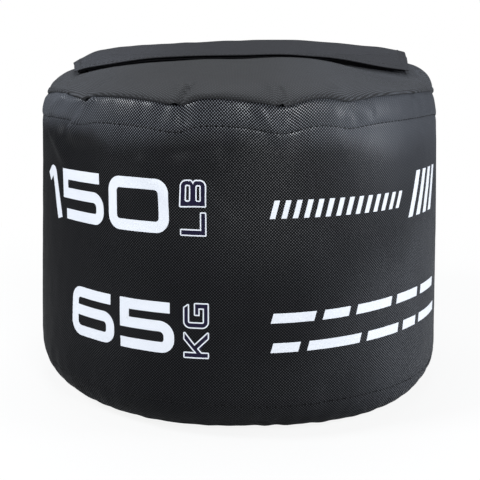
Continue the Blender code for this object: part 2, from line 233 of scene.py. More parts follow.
def shell_arrays(outer, inner, outer_place, inner_place=None, closed=False, period=0.0):
    """The points, faces and cloth places of a closed solid between two grids, each rows by columns by 3. A closed
    grid goes round, and its cloth place then grows by period at the join. An open one needs as many rows in both."""
    inner_place = outer_place if inner_place is None else inner_place
    rows, columns = outer.shape[:2]
    inner_rows = inner.shape[0]
    outer_number = np.arange(rows * columns).reshape(rows, columns)
    inner_number = rows * columns + np.arange(inner_rows * columns).reshape(inner_rows, columns)
    parts = [grid_faces(rows, columns, 0, closed)]
    under, past = grid_faces(inner_rows, columns, rows * columns, closed)
    parts.append((under[:, ::-1], past[:, ::-1]))
    parts.append(rim_faces(outer_number[0], inner_number[0], closed))
    parts.append(rim_faces(outer_number[-1][::-1], inner_number[-1][::-1], closed))
    if closed:
        flipped, past = parts[-1]
        parts[-1] = (flipped, np.zeros_like(past))
    else:
        parts.append(rim_faces(outer_number[::-1, 0], inner_number[::-1, 0], False))
        parts.append(rim_faces(outer_number[:, -1], inner_number[:, -1], False))
    faces = np.concatenate([p[0] for p in parts])
    past = np.concatenate([p[1] for p in parts])
    points = np.concatenate([outer.reshape(-1, 3), inner.reshape(-1, 3)])
    place = np.concatenate([outer_place.reshape(-1, 2), inner_place.reshape(-1, 2)])[faces]
    place[..., 0] += past * period
    return points, faces, place


def prism_faces(around, levels=4):
    """The quads of an upright solid whose outline of paired points stands on some levels: sides, floor and top."""
    ring = np.arange(around)
    side = np.stack([ring, (ring + 1) % around, (ring + 1) % around + around, ring + around], -1)
    i = np.arange(around // 2 - 1)
    cap = np.stack([i, around - 1 - i, around - 2 - i, i + 1], -1)
    sides = [side + around * level for level in range(levels - 1)]
    return np.concatenate(sides + [cap, cap[:, ::-1] + (levels - 1) * around])


print("faces of a grid of 3 by 4 points:", len(grid_faces(3, 4)[0]))

# %% [markdown]
# ## From arrays to a piece
#
# Whole arrays are faster than building a mesh point by point. The sign of a closed solid's volume tells whether its
# faces point outwards. A full bag that has been dropped isn't round any more: its sides bulge low down and are drawn in
# near the top. Everything sewn to the wall goes with it, so that move is made here, on every piece.

# %% Making a piece
# Each row: a height in metres, and how many millimetres the left and the right side have moved out there.
SETTLED = np.array([
    (0.000, 0, 0), (0.02, 0.6, 0.8), (0.055, 2.6, 1.3), (0.08, 2.0, 0.6), (0.102, 1.1, -0.4), (0.124, 0, -1.2),
    (0.145, -1.4, -1.4), (0.177, -2.6, -0.7), (0.208, -3.1, 0), (0.228, -2.9, 0.1), (0.248, -2.0, 0),
    (0.268, -1.0, -0.7), (0.28, -1.4, -2.0), (0.29, -2.2, -2.5), (0.294, -3.8, -2.8), (0.299, -6.9, -3.2),
    (0.308, -7.6, -2.8), (0.313, -5.8, -2.2), (0.32, -1.5, -1.6), (0.335, 0, 0),
])
SETTLED_SIDES = (0.45, 0.93)
SETTLED_RADII = (0.15, 0.195)


def settled(points):
    """Moves points out by the table's millimetres. The move fades towards the front, the back and the middle."""
    radius = np.maximum(np.hypot(points[:, 0], points[:, 1]), 1e-6)
    side = points[:, 0] / radius
    left = np.interp(points[:, 2], SETTLED[:, 0], SETTLED[:, 1]) * smooth(-side, *SETTLED_SIDES)
    right = np.interp(points[:, 2], SETTLED[:, 0], SETTLED[:, 2]) * smooth(side, *SETTLED_SIDES)
    factor = 1 + 0.001 * (left + right) * smooth(radius, *SETTLED_RADII) / radius
    return points * np.stack([factor, factor, np.ones_like(factor)], -1)


def new_object(name, data):
    thing = bpy.data.objects.new(name, data)
    bpy.context.scene.collection.objects.link(thing)
    return thing


def put_together(name, points, faces, cloth_place, smooth_angle=50):
    """Makes the mesh from arrays, turns it so that it faces outwards, and shades it smooth."""
    points = settled(points)
    corners = points[faces]
    volume = np.einsum("ij,ij->i", corners[:, 0], np.cross(corners[:, 1], corners[:, 2])).sum()
    volume += np.einsum("ij,ij->i", corners[:, 0], np.cross(corners[:, 2], corners[:, 3])).sum()
    if volume < 0:
        faces, cloth_place = faces[:, ::-1], cloth_place[:, ::-1]
    mesh = bpy.data.meshes.new(name)
    mesh.from_pydata(points.tolist(), [], faces.tolist())
    layer = mesh.uv_layers.new(name="cloth")
    layer.data.foreach_set("uv", np.ascontiguousarray(cloth_place, np.float32).ravel())
    mesh.shade_smooth()
    mesh.set_sharp_from_angle(angle=math.radians(smooth_angle))
    return new_object(name, mesh)


def shell(name, outer, inner, outer_place, inner_place=None, closed=False, period=0.0, smooth_angle=50):
    """One piece from the solid that shell_arrays describes."""
    arrays = shell_arrays(outer, inner, outer_place, inner_place, closed, period)
    return put_together(name, *arrays, smooth_angle)


def face_count(*pieces):
    return sum(len(piece.data.polygons) for piece in pieces)


def together(name, parts, smooth_angle=50):
    """One piece from the arrays of several solids that don't touch."""
    firsts = np.cumsum([0] + [len(points) for points, _, _ in parts[:-1]])
    points = np.concatenate([part[0] for part in parts])
    faces = np.concatenate([part[1] + first for part, first in zip(parts, firsts)])
    return put_together(name, points, faces, np.concatenate([part[2] for part in parts]), smooth_angle)


def close_poles(piece):
    """Merges the points that meet in a pole and removes the loose edges this leaves."""
    joined = bmesh.new()
    joined.from_mesh(piece.data)
    bmesh.ops.remove_doubles(joined, verts=joined.verts, dist=1e-6)
    loose = [edge for edge in joined.edges if edge.is_wire]
    bmesh.ops.delete(joined, geom=loose, context="EDGES")
    joined.to_mesh(piece.data)
    joined.free()
    return piece


print(f"sides move by {SETTLED[:, 1:].min():.1f} to {SETTLED[:, 1:].max():.1f} mm")

# %% [markdown]
# ## Dips and folds
#
# On a full bag the sand presses the wall round, but the sewing shows: the top seam isn't level, it dips wherever the
# lid was gathered into it, and below each dip the cloth makes a short fold. The ones in front are listed one by one,
# and the sides and the back get the same kinds from a seeded generator.

# %% Tables of dips and folds
# Each dip of the top seam: degrees from the front, its depth, and its width in degrees before and after.
SEAM_DIPS = [(-42.3, 0.0038, 7.5, 3.2), (-14.0, 0.0062, 9.0, 3.2), (10.6, 0.0072, 8.5, 5.0), (27.0, 0.004, 4.5, 6.5)]
UNSEEN_DIPS = (82, 104, 131, 152, 171, -168, -146, -119, -97, -76)
# Each fold: its start and end, in metres round from the front and above the floor, its half-width and its height.
WALL_FOLDS = [
    (-0.1937, 0.2925, -0.2217, 0.272, 0.0044, 0.004), (-0.1425, 0.292, -0.1725, 0.269, 0.004, 0.0046),
    (-0.156, 0.2915, -0.187, 0.266, 0.008, -0.005), (-0.195, 0.26, -0.17, 0.264, 0.008, 0.003),
    (-0.218, 0.262, -0.19, 0.243, 0.007, 0.0026), (-0.172, 0.248, -0.145, 0.25, 0.013, -0.0034),
    (-0.056, 0.256, -0.015, 0.258, 0.009, -0.0026), (-0.125, 0.271, -0.025, 0.269, 0.01, 0.0008),
    (-0.085, 0.24, -0.048, 0.206, 0.009, 0.0022), (-0.03, 0.22, -0.01, 0.195, 0.008, 0.0014),
    (0.02, 0.289, 0.0345, 0.268, 0.006, 0.002), (0.042, 0.286, 0.047, 0.276, 0.005, -0.0012),
    (-0.049, 0.287, -0.046, 0.279, 0.005, -0.0014), (0.1187, 0.293, 0.1225, 0.28, 0.0026, -0.0018),
    (0.19, 0.295, 0.212, 0.282, 0.0035, -0.0016), (0.101, 0.29, 0.106, 0.278, 0.004, -0.002),
    (0.09, 0.27, 0.15, 0.256, 0.011, -0.001), (0.08, 0.284, 0.113, 0.284, 0.0085, 0.0012),
    (0.13, 0.284, 0.165, 0.285, 0.0085, 0.0011),
]


def seeded_dips_and_folds(seed):
    """Dips near the unseen places, each with a hollow below it and a ridge beside that."""
    random = np.random.default_rng(seed)
    dips, folds = [], []
    for place in UNSEEN_DIPS:
        place += random.uniform(-4, 4)
        depth = random.uniform(0.002, 0.0055)
        dips.append((place, depth, random.uniform(3.5, 8), random.uniform(3.5, 8)))
        arc = math.radians(place) * MAP_RADIUS
        slant = random.uniform(-0.016, 0.016)
        drop = random.uniform(0.012, 0.028)
        folds.append((arc, 0.29, arc + slant, 0.29 - drop, 0.0055, -0.35 * depth))
        aside = math.copysign(random.uniform(0.008, 0.014), slant)
        folds.append((arc + aside, 0.29, arc + aside + slant, 0.286 - drop, 0.006, 0.4 * depth))
    return dips, folds


more_dips, more_folds = seeded_dips_and_folds(65)
SEAM_DIPS += more_dips
WALL_FOLDS += more_folds
print("dips:", len(SEAM_DIPS), "folds:", len(WALL_FOLDS))

# %% [markdown]
# ## Seam, corner and stitch lines
#
# A line of topstitching holds the seam allowance 22 mm below the top seam, and another goes round above the rounded
# base corner. Both follow the shape of the bag: the upper one the dips, the lower one the corner, which the sand has
# filled more at the right.

# %% Seam, corner and stitch lines
SEAM_LEVEL = 0.001
SEAM_SIDE_RISE = 0.002
DIP_POWER = 1.6
TOPSTITCH_DROP = 0.0225
STITCH_FOLLOWS = 0.25
BASE_STITCH_LEVEL = 0.0352
# Each row: degrees from the front, and the radius of the base corner there in millimetres.
CORNER_SIZES = np.array([
    (-34, 40), (-20, 41), (-8, 44), (2, 45.5), (10, 42.5), (17, 38.6), (23, 35.2), (29, 31.9), (36, 29.0), (43, 27.2),
    (53, 27.3), (65, 31.0), (80, 35), (110, 38.5), (140, 40),
])


def seam_rise(turn):
    """How far the top seam is above its mean height: higher at the sides, less each dip, which falls over one width
    and rises over another."""
    degrees = np.degrees(turn)
    rise = SEAM_LEVEL + SEAM_SIDE_RISE * smooth(np.abs(degrees), 30, 65)
    for place, depth, before, after in SEAM_DIPS:
        away = (degrees - place + 180) % 360 - 180
        width = np.where(away < 0, before, after)
        rise = rise - depth * np.exp(-(np.abs(away / width) ** DIP_POWER))
    return rise


def topstitch_level(turn):
    """The height of the seam allowance's stitching. It follows the dips less deeply."""
    return seam_height - TOPSTITCH_DROP + STITCH_FOLLOWS * seam_rise(turn)


def degrees_round(turn):
    """A turn in degrees from the front, between -180 and 180."""
    return (np.degrees(turn) + 180) % 360 - 180


def corner_size(turn):
    """The radius of the base corner: larger in front, and smaller where the sand has filled it at the right."""
    return 0.001 * np.interp(degrees_round(turn), CORNER_SIZES[:, 0], CORNER_SIZES[:, 1])


def base_stitch_level(turn):
    """The height of the stitching above the base corner: lower at the right, where the corner is fuller."""
    degrees = degrees_round(turn)
    ahead = 1 - smooth(degrees, 110, 150)
    level = BASE_STITCH_LEVEL - 0.0028 * smooth(degrees, -8, 6) * ahead
    return level - 0.0065 * smooth(degrees, 22, 75) * ahead


print(f"base corner {corner_size(0.0):.4f} m in front")

# %% [markdown]
# ## The wall's shape
#
# Between the top seam and its topstitching the cloth puffs out, and each row of stitches presses a groove. All of that
# is a height added to the plain drum, worked out from a point's place round it and its height.

# %% Wall relief and surface
PUFF_HEIGHT = 0.0013
PUFF_POWER = 0.62
BACK_SEAM_RISE = 0.0006
STITCH_GROOVE = 0.0004
RISE_FROM = 0.225
TOP_DRAW, TOP_DRAW_REACH = 0.0024, 0.0016
BASE_DRAW, BASE_DRAW_REACH = 0.0012, 0.0014


def wall_relief(turn, height):
    """The cloth's height over the plain drum: dents, folds, the puffed allowance, stitch lines and the back seam."""
    turn = (turn + pi) % tau - pi
    arc = turn * MAP_RADIUS
    stitch = topstitch_level(turn)
    puff = np.clip((height - stitch) / (seam_height - stitch), 0, 1)
    uneven = 1 + 0.25 * drum_waves(turn, 0, 7, 9, 40, 1)
    lift = PUFF_HEIGHT * np.sin(pi * puff**PUFF_POWER) * uneven
    lift = lift + BACK_SEAM_RISE * (1 - smooth((pi - np.abs(turn)) * MAP_RADIUS, 0.0055, 0.0075))
    lift = lift - STITCH_GROOVE * bell(height, stitch, 0.0012)
    lift = lift - STITCH_GROOVE * bell(height, base_stitch_level(turn), 0.0015)
    high = smooth(height, 0.245, 0.29)
    low = smooth(height, 0.075, 0.035)
    lift = lift + 0.00035 * drum_waves(turn, height, 11, 24, 75, 0.05) * (0.25 + high + 0.6 * low)
    lift = lift + 0.0009 * drum_waves(turn, height, 5, 16, 9, 0.16) * smooth(height, 0.01, 0.06)
    return lift + folds_lift(arc, height, WALL_FOLDS)


def wall_surface(turn, up, lift=0.0):
    """A point of the wall: turn is the angle from the front, up the way along the cloth from the base seam. The
    cloth goes round the base corner, then rises with an even taper and curls in, and is drawn into both seams."""
    turn, up = np.broadcast_arrays(turn, up)
    corner = corner_size(turn)
    arc = corner * (pi / 2 - BASE_SEAM_ANGLE)
    way = np.minimum(up / corner_length, 1) * (arc + BASE_CORNER - corner)
    angle = BASE_SEAM_ANGLE + np.minimum(way, arc) / corner
    level = corner - corner * np.cos(angle) + np.maximum(way - arc, 0) + np.maximum(up - corner_length, 0)
    share = np.clip((level - BASE_CORNER) / (seam_height - BASE_CORNER), 0, 1)
    radius = body_radius - corner + corner * np.sin(angle)
    radius = radius - WALL_TAPER * share - SHOULDER_CURL * share**SHOULDER_POWER
    out = wall_relief(turn, level) + lift
    out = out - TOP_DRAW * np.exp((level - seam_height) / TOP_DRAW_REACH) - BASE_DRAW * np.exp(-up / BASE_DRAW_REACH)
    height = level + seam_rise(turn) * smooth(level, RISE_FROM, seam_height)
    radius = radius + out * np.sin(angle)
    height = height - out * np.cos(angle)
    return round_axis(turn, radius, height)


print("a point of the wall in front, half way up:", wall_surface(0.0, wall_length / 2).round(4))

# %% [markdown]
# ## The wall's mesh
#
# One ring of cloth goes round the drum. Its rows lie closer together where the shape changes fast: at the seam, at
# the two stitch lines and in the base corner. The inner face needs fewer rows, because only its ends are joined to
# the outer one.

# %% Wall cloth
WALL_COLUMNS = 520
topstitch_up = wall_length - TOPSTITCH_DROP
turns = turns_round(WALL_COLUMNS)
rows_up = spaced(wall_length, 118, 0.0032, (wall_length, 0.0006, 0.004), (topstitch_up, 0.001, 0.004),
                 (0, 0.0008, 0.004))[:, None]
rows_inside = spaced(wall_length, 40, 0.009, (wall_length, 0.002, 0.01), (0, 0.002, 0.006))[:, None]


def drum_map(turn, up):
    """The place on the unrolled wall cloth, in metres."""
    return pairs(turn * MAP_RADIUS, up)


wall_cloth = shell("wall_cloth", wall_surface(turns, rows_up), wall_surface(turns, rows_inside, -CLOTH),
                   drum_map(turns, rows_up), drum_map(turns, rows_inside), closed=True, period=tau * MAP_RADIUS)
print("wall cloth:", face_count(wall_cloth), "faces")

# %% [markdown]
# ## The lid's shape
#
# The lid is sewn from two half discs and pushed up by the sand. Along the zip it stays full out to the rim, and to
# either side of the zip it rounds off sooner. Its edge is drawn down into the top seam, so the same dips show there,
# with short radial folds above them.

# %% Lid surface
ROUND_POWER = 1.6
RIGHT_FULLNESS = 7.9
LEFT_FULLNESS = 2.6
FULLNESS_FOCUS = 16
RIM_BULGE = 0.0014
LEFT_CORNER_FALL = 0.2
RIGHT_CORNER_FALL = 0.38
CORNER_FALL_OUT = (0.078, 0.154)
CORNER_FALL_AHEAD = (0.03, 0.075)
DIP_REACH = 0.016
# The swell in front of the flap: its least height, and each place along the flap, width and added height.
FRONT_SWELL = 0.0026
SWELL_PLACES = ((0.05, 0.042, 0.003), (-0.122, 0.03, 0.0021))
LID_DRAW, LID_DRAW_REACH = 0.003, 0.0014
# Each fold: as in WALL_FOLDS, but with metres in from the rim in place of the height.
LID_FOLDS = [
    (-0.048, 0, -0.0445, 0.015, 0.0024, -0.0034), (-0.054, 0.003, -0.053, 0.015, 0.0042, 0.003),
    (0.0365, 0, 0.036, 0.012, 0.0028, 0.0022), (0.03, 0, 0.03, 0.014, 0.0028, -0.0018),
    (0.043, 0, 0.0425, 0.014, 0.0028, -0.002), (0.02, 0.008, 0.019, 0.02, 0.006, 0.0009),
    (-0.185, 0.004, -0.164, 0.035, 0.0055, 0.0014), (-0.152, 0.003, -0.144, 0.024, 0.005, 0.0014),
    (-0.16, 0, -0.156, 0.018, 0.0045, -0.0016), (0.098, 0, 0.095, 0.02, 0.006, -0.0008),
]
for place, depth, before, after in more_dips:
    rim_arc = math.radians(place) * MAP_RADIUS
    LID_FOLDS.append((rim_arc, 0.0, rim_arc + 0.2 * depth, 0.016, 0.0032, -0.3 * depth))
    LID_FOLDS.append((rim_arc + 0.008, 0.002, rim_arc + 0.009, 0.018, 0.005, 0.25 * depth))


def lid_level(x, y):
    """The lid's smooth outer height. The swell over the rim is the root of 1 less the reach to a power, which is
    high towards both ends of the zip, and it blends into a nearly level middle. Both front corners fall away."""
    distance = np.maximum(np.hypot(x, y), 1e-6)
    side = x / distance
    power = ROUND_POWER + RIGHT_FULLNESS * np.maximum(side, 0) ** FULLNESS_FOCUS
    power = power + LEFT_FULLNESS * np.maximum(-side, 0) ** FULLNESS_FOCUS
    reach = np.minimum(distance / (seam_radius + RIM_BULGE), 1)
    swell = np.sqrt(1 - reach**power)
    swell = swell / (1 + (swell / PLATEAU_SHARE) ** PLATEAU_POWER) ** (1 / PLATEAU_POWER)
    fall = np.where(x < 0, LEFT_CORNER_FALL, RIGHT_CORNER_FALL)
    fall = fall * smooth(np.abs(x), *CORNER_FALL_OUT) * smooth(-y, *CORNER_FALL_AHEAD)
    return seam_height + CROWN_HEIGHT * swell * (1 - fall)


def front_swell(x, y):
    """The sand lifts the lid just in front of the flap, most at two places, and less towards the flap's ends."""
    amount = FRONT_SWELL
    for place, width, height in SWELL_PLACES:
        amount = amount + height * bell(x, place, width)
    amount = amount * smooth(x, -0.176, -0.15) * (1 - smooth(x, 0.105, 0.145))
    return amount * smooth(-y, 0.0625, 0.072) * (1 - smooth(-y, 0.076, 0.15))


def lid_height(x, y):
    """The lid's outer height with its unevenness: the seam's dips near the rim, gathers, folds and soft dents."""
    distance = np.hypot(x, y)
    turn = np.arctan2(x, -y)
    inset = seam_radius + RIM_BULGE - distance
    near = np.exp(-np.maximum(inset, 0) / DIP_REACH)
    lift = seam_rise(turn) * near
    lift = lift + 0.0004 * drum_waves(turn, 0, 21, 22, 70, 1) * near * smooth(inset, -0.001, 0.004)
    lift = lift + 0.0005 * waves(x, y, 31, 18, 0.05, 0.11) * smooth(inset, 0.0, 0.03) * smooth(np.abs(y), 0.01, 0.05)
    return lid_level(x, y) + front_swell(x, y) + lift + folds_lift(turn * MAP_RADIUS, inset, LID_FOLDS)


def lid_point(x, y):
    """A point of the lid. Within a millimetre or two of the seam it is drawn in towards it."""
    height = lid_height(x, y)
    turn = np.arctan2(x, -y)
    above = height - seam_height - seam_rise(turn)
    drawn = 1 - LID_DRAW * np.exp(-np.maximum(above, 0) / LID_DRAW_REACH) / seam_radius
    return np.stack([x * drawn, y * drawn, height], -1)


print(f"the lid's middle lies {lid_height(0.0, -0.02) - seam_height:.4f} m over the seam")

# %% [markdown]
# ## The two halves of the lid
#
# Each half is a grid whose columns run straight back from the rim to the zip, and whose rows crowd towards the rim,
# where the cloth stands nearly upright. The zip's slot is left open between the halves.

# %% Lid cloth
LID_COLUMNS = 260
LID_ROWS = 72
slot_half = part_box("zip_stop_closed_end")[1].x + GAP
SLOT_HALF_WIDTH = 0.009


def lid_half(name, side):
    """One half of the lid, between the zip's line and the rim: side is -1 for the front and 1 for the rear."""
    turn = np.linspace(math.radians(-89.6), math.radians(89.6), LID_COLUMNS)
    rim = seam_radius + RIM_BULGE
    x = rim * np.sin(turn)[None, :]
    open_share = 1 - smooth(np.abs(x), slot_half - 0.003, slot_half + 0.003)
    start = GAP / 2 + (SLOT_HALF_WIDTH - GAP / 2) * open_share
    end = rim * np.cos(turn)[None, :]
    row = np.sin(np.linspace(0, pi / 2, LID_ROWS))[:, None]
    y = side * (start + (end - start) * row)
    x = np.broadcast_to(x, y.shape)
    outer = lid_point(x, y)
    thickness = LINING * np.broadcast_to(np.minimum(1, (end - start) / 0.006), y.shape)
    inner = outer - upward_normals(outer) * thickness[..., None]
    steps = np.linalg.norm(np.diff(outer, axis=0), axis=-1)
    way = start + np.concatenate([np.zeros((1, steps.shape[1])), np.cumsum(steps, axis=0)])
    return shell(name, outer, inner, np.stack([x, side * way], -1))


lid_front_cloth = lid_half("lid_front_cloth", -1)
lid_rear_cloth = lid_half("lid_rear_cloth", 1)
print("each lid half:", face_count(lid_front_cloth), "faces")

# %% [markdown]
# ## Cloth layers over the lid
#
# The flap, its lining, the two strips of hook and loop and the hem are all laid over the lid, one above the other.
# One function makes any of them: a strip between two edges, at a height over the lid that another function gives.

# %% Flap heights
ARCH_START = -0.0297
FASTENER_STACK = LID_GAP + 2 * (LINING + GAP)
RISE_MIDDLE = 0.0174
RISE_PLACE = 0.025
LEFT_FALL = 0.3
RIGHT_FALL = 0.5
LEFT_HOLLOW = 0.0008
LEFT_END_START = 0.148
LEFT_END_REACH = 0.029


def flap_lift(x, y):
    """The clear height under the flap: the fastener's strips in front, then an arch over the zip, highest a little
    right of the middle and closed at the left end, down to the sewn rear edge."""
    share = np.clip((y - ARCH_START) / (flap_high.y - ARCH_START), 0, 1)
    ease = share * share * (3 - 2 * share)
    fall = np.where(x < RISE_PLACE, LEFT_FALL, RIGHT_FALL)
    rise = RISE_MIDDLE - fall * (x - RISE_PLACE) ** 2
    rise = rise - LEFT_HOLLOW * bell(x, -0.05, 0.05)
    rise = rise * np.sqrt(1 - np.clip((-LEFT_END_START - x) / LEFT_END_REACH, 0, 1) ** 2)
    front = FASTENER_STACK - 0.0022 * smooth(-x, 0.145, 0.172) + 0.0013 * bell(x, 0.045, 0.03)
    lift = front + (LID_GAP - front) * ease + rise * np.sin(pi * share) ** 2
    creases = waves(0.5 * x + y, 0.35 * y - 0.1 * x, 41, 14, 0.03, 0.08)
    creases = 0.4 * creases + waves(0.7 * x + 0.8 * y, 0.4 * y - 0.2 * x, 43, 12, 0.015, 0.03)
    return lift + 0.0004 * creases * smooth(share, 0.02, 0.2) * smooth(share, 0.6, 0.35)


def strip(name, x_edges, y_edges, columns, rows, under, thickness, narrow=None):
    """A shell of cloth over the lid between two pairs of edges. under gives how high its lower face is above the
    lid, thickness is a number or one for each row, and narrow a factor on x, as where a flap's end leans in."""
    x = np.linspace(*x_edges, columns)[None, :] * np.ones((rows, 1))
    y = np.linspace(*y_edges, rows)[:, None] * np.ones((1, columns))
    cut = np.stack([x, y], -1)
    if narrow is not None:
        x = x * narrow(x, y)
    lower = np.stack([x, y, lid_level(x, y) + under(x, y)], -1)
    thickness = thickness + 0 * x
    return shell(name, lower + upward_normals(lower) * thickness[..., None], lower, cut, smooth_angle=40)


def on_lid(x, y):
    """A layer right on the lid, a small gap above it."""
    return LID_GAP + 0 * x


def flap_ends(x, y):
    """The flap's front corners are drawn in over the falling lid, more at the left."""
    front = smooth(-y, -0.01, 0.063)
    return 1 - np.where(x < 0, 0.068, 0.036) * front - 0.008 * smooth(x, 0.12, 0.17)


print(f"the flap stands {flap_lift(RISE_PLACE, 0.0):.4f} m over the lid at the zip")

# %% [markdown]
# ## The flap and what lies under it
#
# The flap is two cloths, an outer one turned in along its front edge and a lining set back from it. The hem is its
# sewn-down rear strip. Of the fastener, the loop strip is sewn to the lid and the hook strip to the lining.

# %% Flap, lining, hem and fastener strips
FLAP_CLOTH = 0.0017
FLAP_COLUMNS, FLAP_ROWS = 200, 72
FASTENER_COLUMNS, FASTENER_ROWS = 120, 16
LINING_SETBACK = 0.0035
FOLD_THIN = 0.35
hook_low, hook_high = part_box("flap_hook_tape")
flap_span, flap_reach = (flap_low.x, flap_high.x), (flap_low.y, flap_high.y)
fastener_span, fastener_reach = (hook_low.x, hook_high.x), (hook_low.y, hook_high.y)
lining_span = (flap_low.x + LINING_SETBACK, flap_high.x - LINING_SETBACK)
lining_reach = (flap_low.y + LINING_SETBACK, flap_high.y)


def folded_edge(y):
    """How much of its thickness the flap's cloth has: it is pressed thin along the fold of the front edge."""
    return FOLD_THIN + (1 - FOLD_THIN) * smooth(y, flap_low.y, flap_low.y + 0.006)


def over_lining(x, y):
    return flap_lift(x, y) + LINING + GAP + FLAP_CLOTH * (1 - folded_edge(y))


def over_loops(x, y):
    return LID_GAP + LINING + GAP + 0 * x


flap_thickness = FLAP_CLOTH * folded_edge(np.linspace(*flap_reach, FLAP_ROWS))[:, None]
closure_flap = strip("flap_cloth", flap_span, flap_reach, FLAP_COLUMNS, FLAP_ROWS, over_lining, flap_thickness,
                     flap_ends)
flap_lining = strip("flap_lining_cloth", lining_span, lining_reach, FLAP_COLUMNS, FLAP_ROWS, flap_lift, LINING,
                    flap_ends)
hem_cloth = strip("hem_cloth", flap_span, (hem_low.y, hem_high.y), 160, 12, on_lid, LINING + GAP + FLAP_CLOTH)
loop_strip, hook_strip = [
    strip(name, fastener_span, fastener_reach, FASTENER_COLUMNS, FASTENER_ROWS, under, LINING, flap_ends)
    for name, under in (("loop_strip", on_lid), ("hook_strip", over_loops))
]
print("flap:", [round(v, 4) for v in closure_flap.dimensions])

# %% [markdown]
# ## The base
#
# The base is a round panel whose edge turns up into the corner, where the wall is sewn to it. It is flat where it
# rests on the floor. A second layer and a binding lie inside it and keep their CAD solids' places.

# %% Base cloth
BASE_UNEVEN = 0.0003
base_edge = flat_radius + BASE_CORNER * BASE_SEAM_ANGLE


def base_surface(turn, out, lift=0.0):
    """A point of the base: out is the way along the cloth from the middle. Past the flat part the cloth follows the
    rounded corner up to the base seam, where it is drawn in a little."""
    turn, out = np.broadcast_arrays(turn, out)
    corner = corner_size(turn)
    flat = body_radius - corner
    last = flat + corner * BASE_SEAM_ANGLE
    way = out * last / base_edge
    angle = np.maximum(way - flat, 0) / corner
    radius = np.minimum(way, flat) + corner * np.sin(angle)
    drawn = lift + BASE_DRAW * np.exp((way - last) / BASE_DRAW_REACH)
    drawn = drawn + BASE_UNEVEN * (1 + drum_waves(turn, 0, 51, 20, 60, 1)) * smooth(way, flat, last)
    height = corner * (1 - np.cos(angle)) + drawn * np.cos(angle)
    radius = radius - drawn * np.sin(angle)
    return round_axis(turn, radius, height)


def base_shell(name, outside, rows, lift, thickness):
    """A closed disc of cloth: two grids that both end in one point in the middle."""
    turn = turns_round(192)
    out = spaced(outside, rows, 0.012, (outside, 0.001, 0.008))[:, None]
    lower = base_surface(turn, out, lift)
    upper = base_surface(turn, out, lift + thickness)
    cloth_place = pairs(out * np.sin(turn), out * np.cos(turn))
    return close_poles(shell(name, lower, upper, cloth_place, closed=True))


base_cloth = base_shell("base_cloth", base_edge, 34, 0.0, CLOTH)
base_second_layer = base_shell("base_second_layer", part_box("base_reinforcement")[1].x, 26, CLOTH + GAP, LINING)
print("base cloth:", face_count(base_cloth), "faces")

# %% [markdown]
# ## Materials: numbers that flow through nodes
#
# Shader maths is easier to read as Python. `Flow` holds a socket, and adding or multiplying two of them adds the
# Math node that does it. `Finish` makes a material, and every other node comes from its method `add`. Colours are
# blended by a Mix node, because a Math node turns them grey.

# %% Flow and Finish
class Flow:
    """A number, colour or vector on its way through a material."""

    def __init__(self, finish, socket):
        self.finish = finish
        self.socket = socket

    def maths(self, operation, *others):
        return self.finish.add("ShaderNodeMath", {"operation": operation}, dict(enumerate((self, *others))))

    def __add__(self, other):
        return self.maths("ADD", other)

    __radd__ = __add__

    def __sub__(self, other):
        return self.maths("SUBTRACT", other)

    def __rsub__(self, other):
        return self.maths("MULTIPLY_ADD", -1.0, other)

    def __mul__(self, other):
        return self.maths("MULTIPLY", other)

    __rmul__ = __mul__

    def __pow__(self, other):
        return self.maths("POWER", other)

    def sine(self):
        return self.maths("SINE")

    def step(self, low, high):
        """0 below low and 1 above high, with an even S between."""
        settings = {"interpolation_type": "SMOOTHSTEP"}
        return self.finish.add("ShaderNodeMapRange", settings, {"Value": self, "From Min": low, "From Max": high})


class Finish:
    """One material: a Principled shader and the nodes that feed it."""

    def __init__(self, name):
        self.material = bpy.data.materials.new(name)
        self.material.use_nodes = True
        self.tree = self.material.node_tree
        self.shader = self.tree.nodes["Principled BSDF"]

    def add(self, kind, settings=None, values=None, out=0):
        """Adds a node, sets it up, fills or links its sockets, and gives back one of its outputs."""
        node = self.tree.nodes.new(kind)
        for name, value in (settings or {}).items():
            setattr(node, name, value)
        self.fill(node, values or {})
        return Flow(self, node.outputs[out])

    def fill(self, node, values):
        for name, value in values.items():
            if isinstance(value, Flow):
                self.tree.links.new(value.socket, node.inputs[name])
            else:
                node.inputs[name].default_value = value

    def mix(self, factor, first, second):
        """A blend of two colours."""
        settings = {"data_type": "RGBA"}
        return self.add("ShaderNodeMix", settings, {"Factor": factor, 6: first, 7: second}, out=2)

    def noise(self, vector, scale, detail=2.0, roughness=0.5):
        values = {"Vector": vector, "Scale": scale, "Detail": detail, "Roughness": roughness}
        return self.add("ShaderNodeTexNoise", {}, values)

    def place(self, kind="Object"):
        """Object coordinates, or the piece's own map in metres."""
        if kind == "cloth":
            return self.add("ShaderNodeUVMap", {"uv_map": "cloth"})
        return self.add("ShaderNodeTexCoord", out="Object")

    def parts(self, vector):
        """The separate numbers of a vector."""
        node = self.add("ShaderNodeSeparateXYZ", {}, {0: vector}).socket.node
        return [Flow(self, socket) for socket in node.outputs]

    def bump(self, height, strength, distance):
        return self.add("ShaderNodeBump", {}, {"Height": height, "Strength": strength, "Distance": distance})

    def finish_with(self, **values):
        """Sets the Principled sockets. An underscore in a name stands for a space."""
        self.fill(self.shader, {name.replace("_", " "): value for name, value in values.items()})
        return self.material


def colour(red, green, blue):
    return (red, green, blue, 1.0)


print("materials so far:", len(bpy.data.materials))
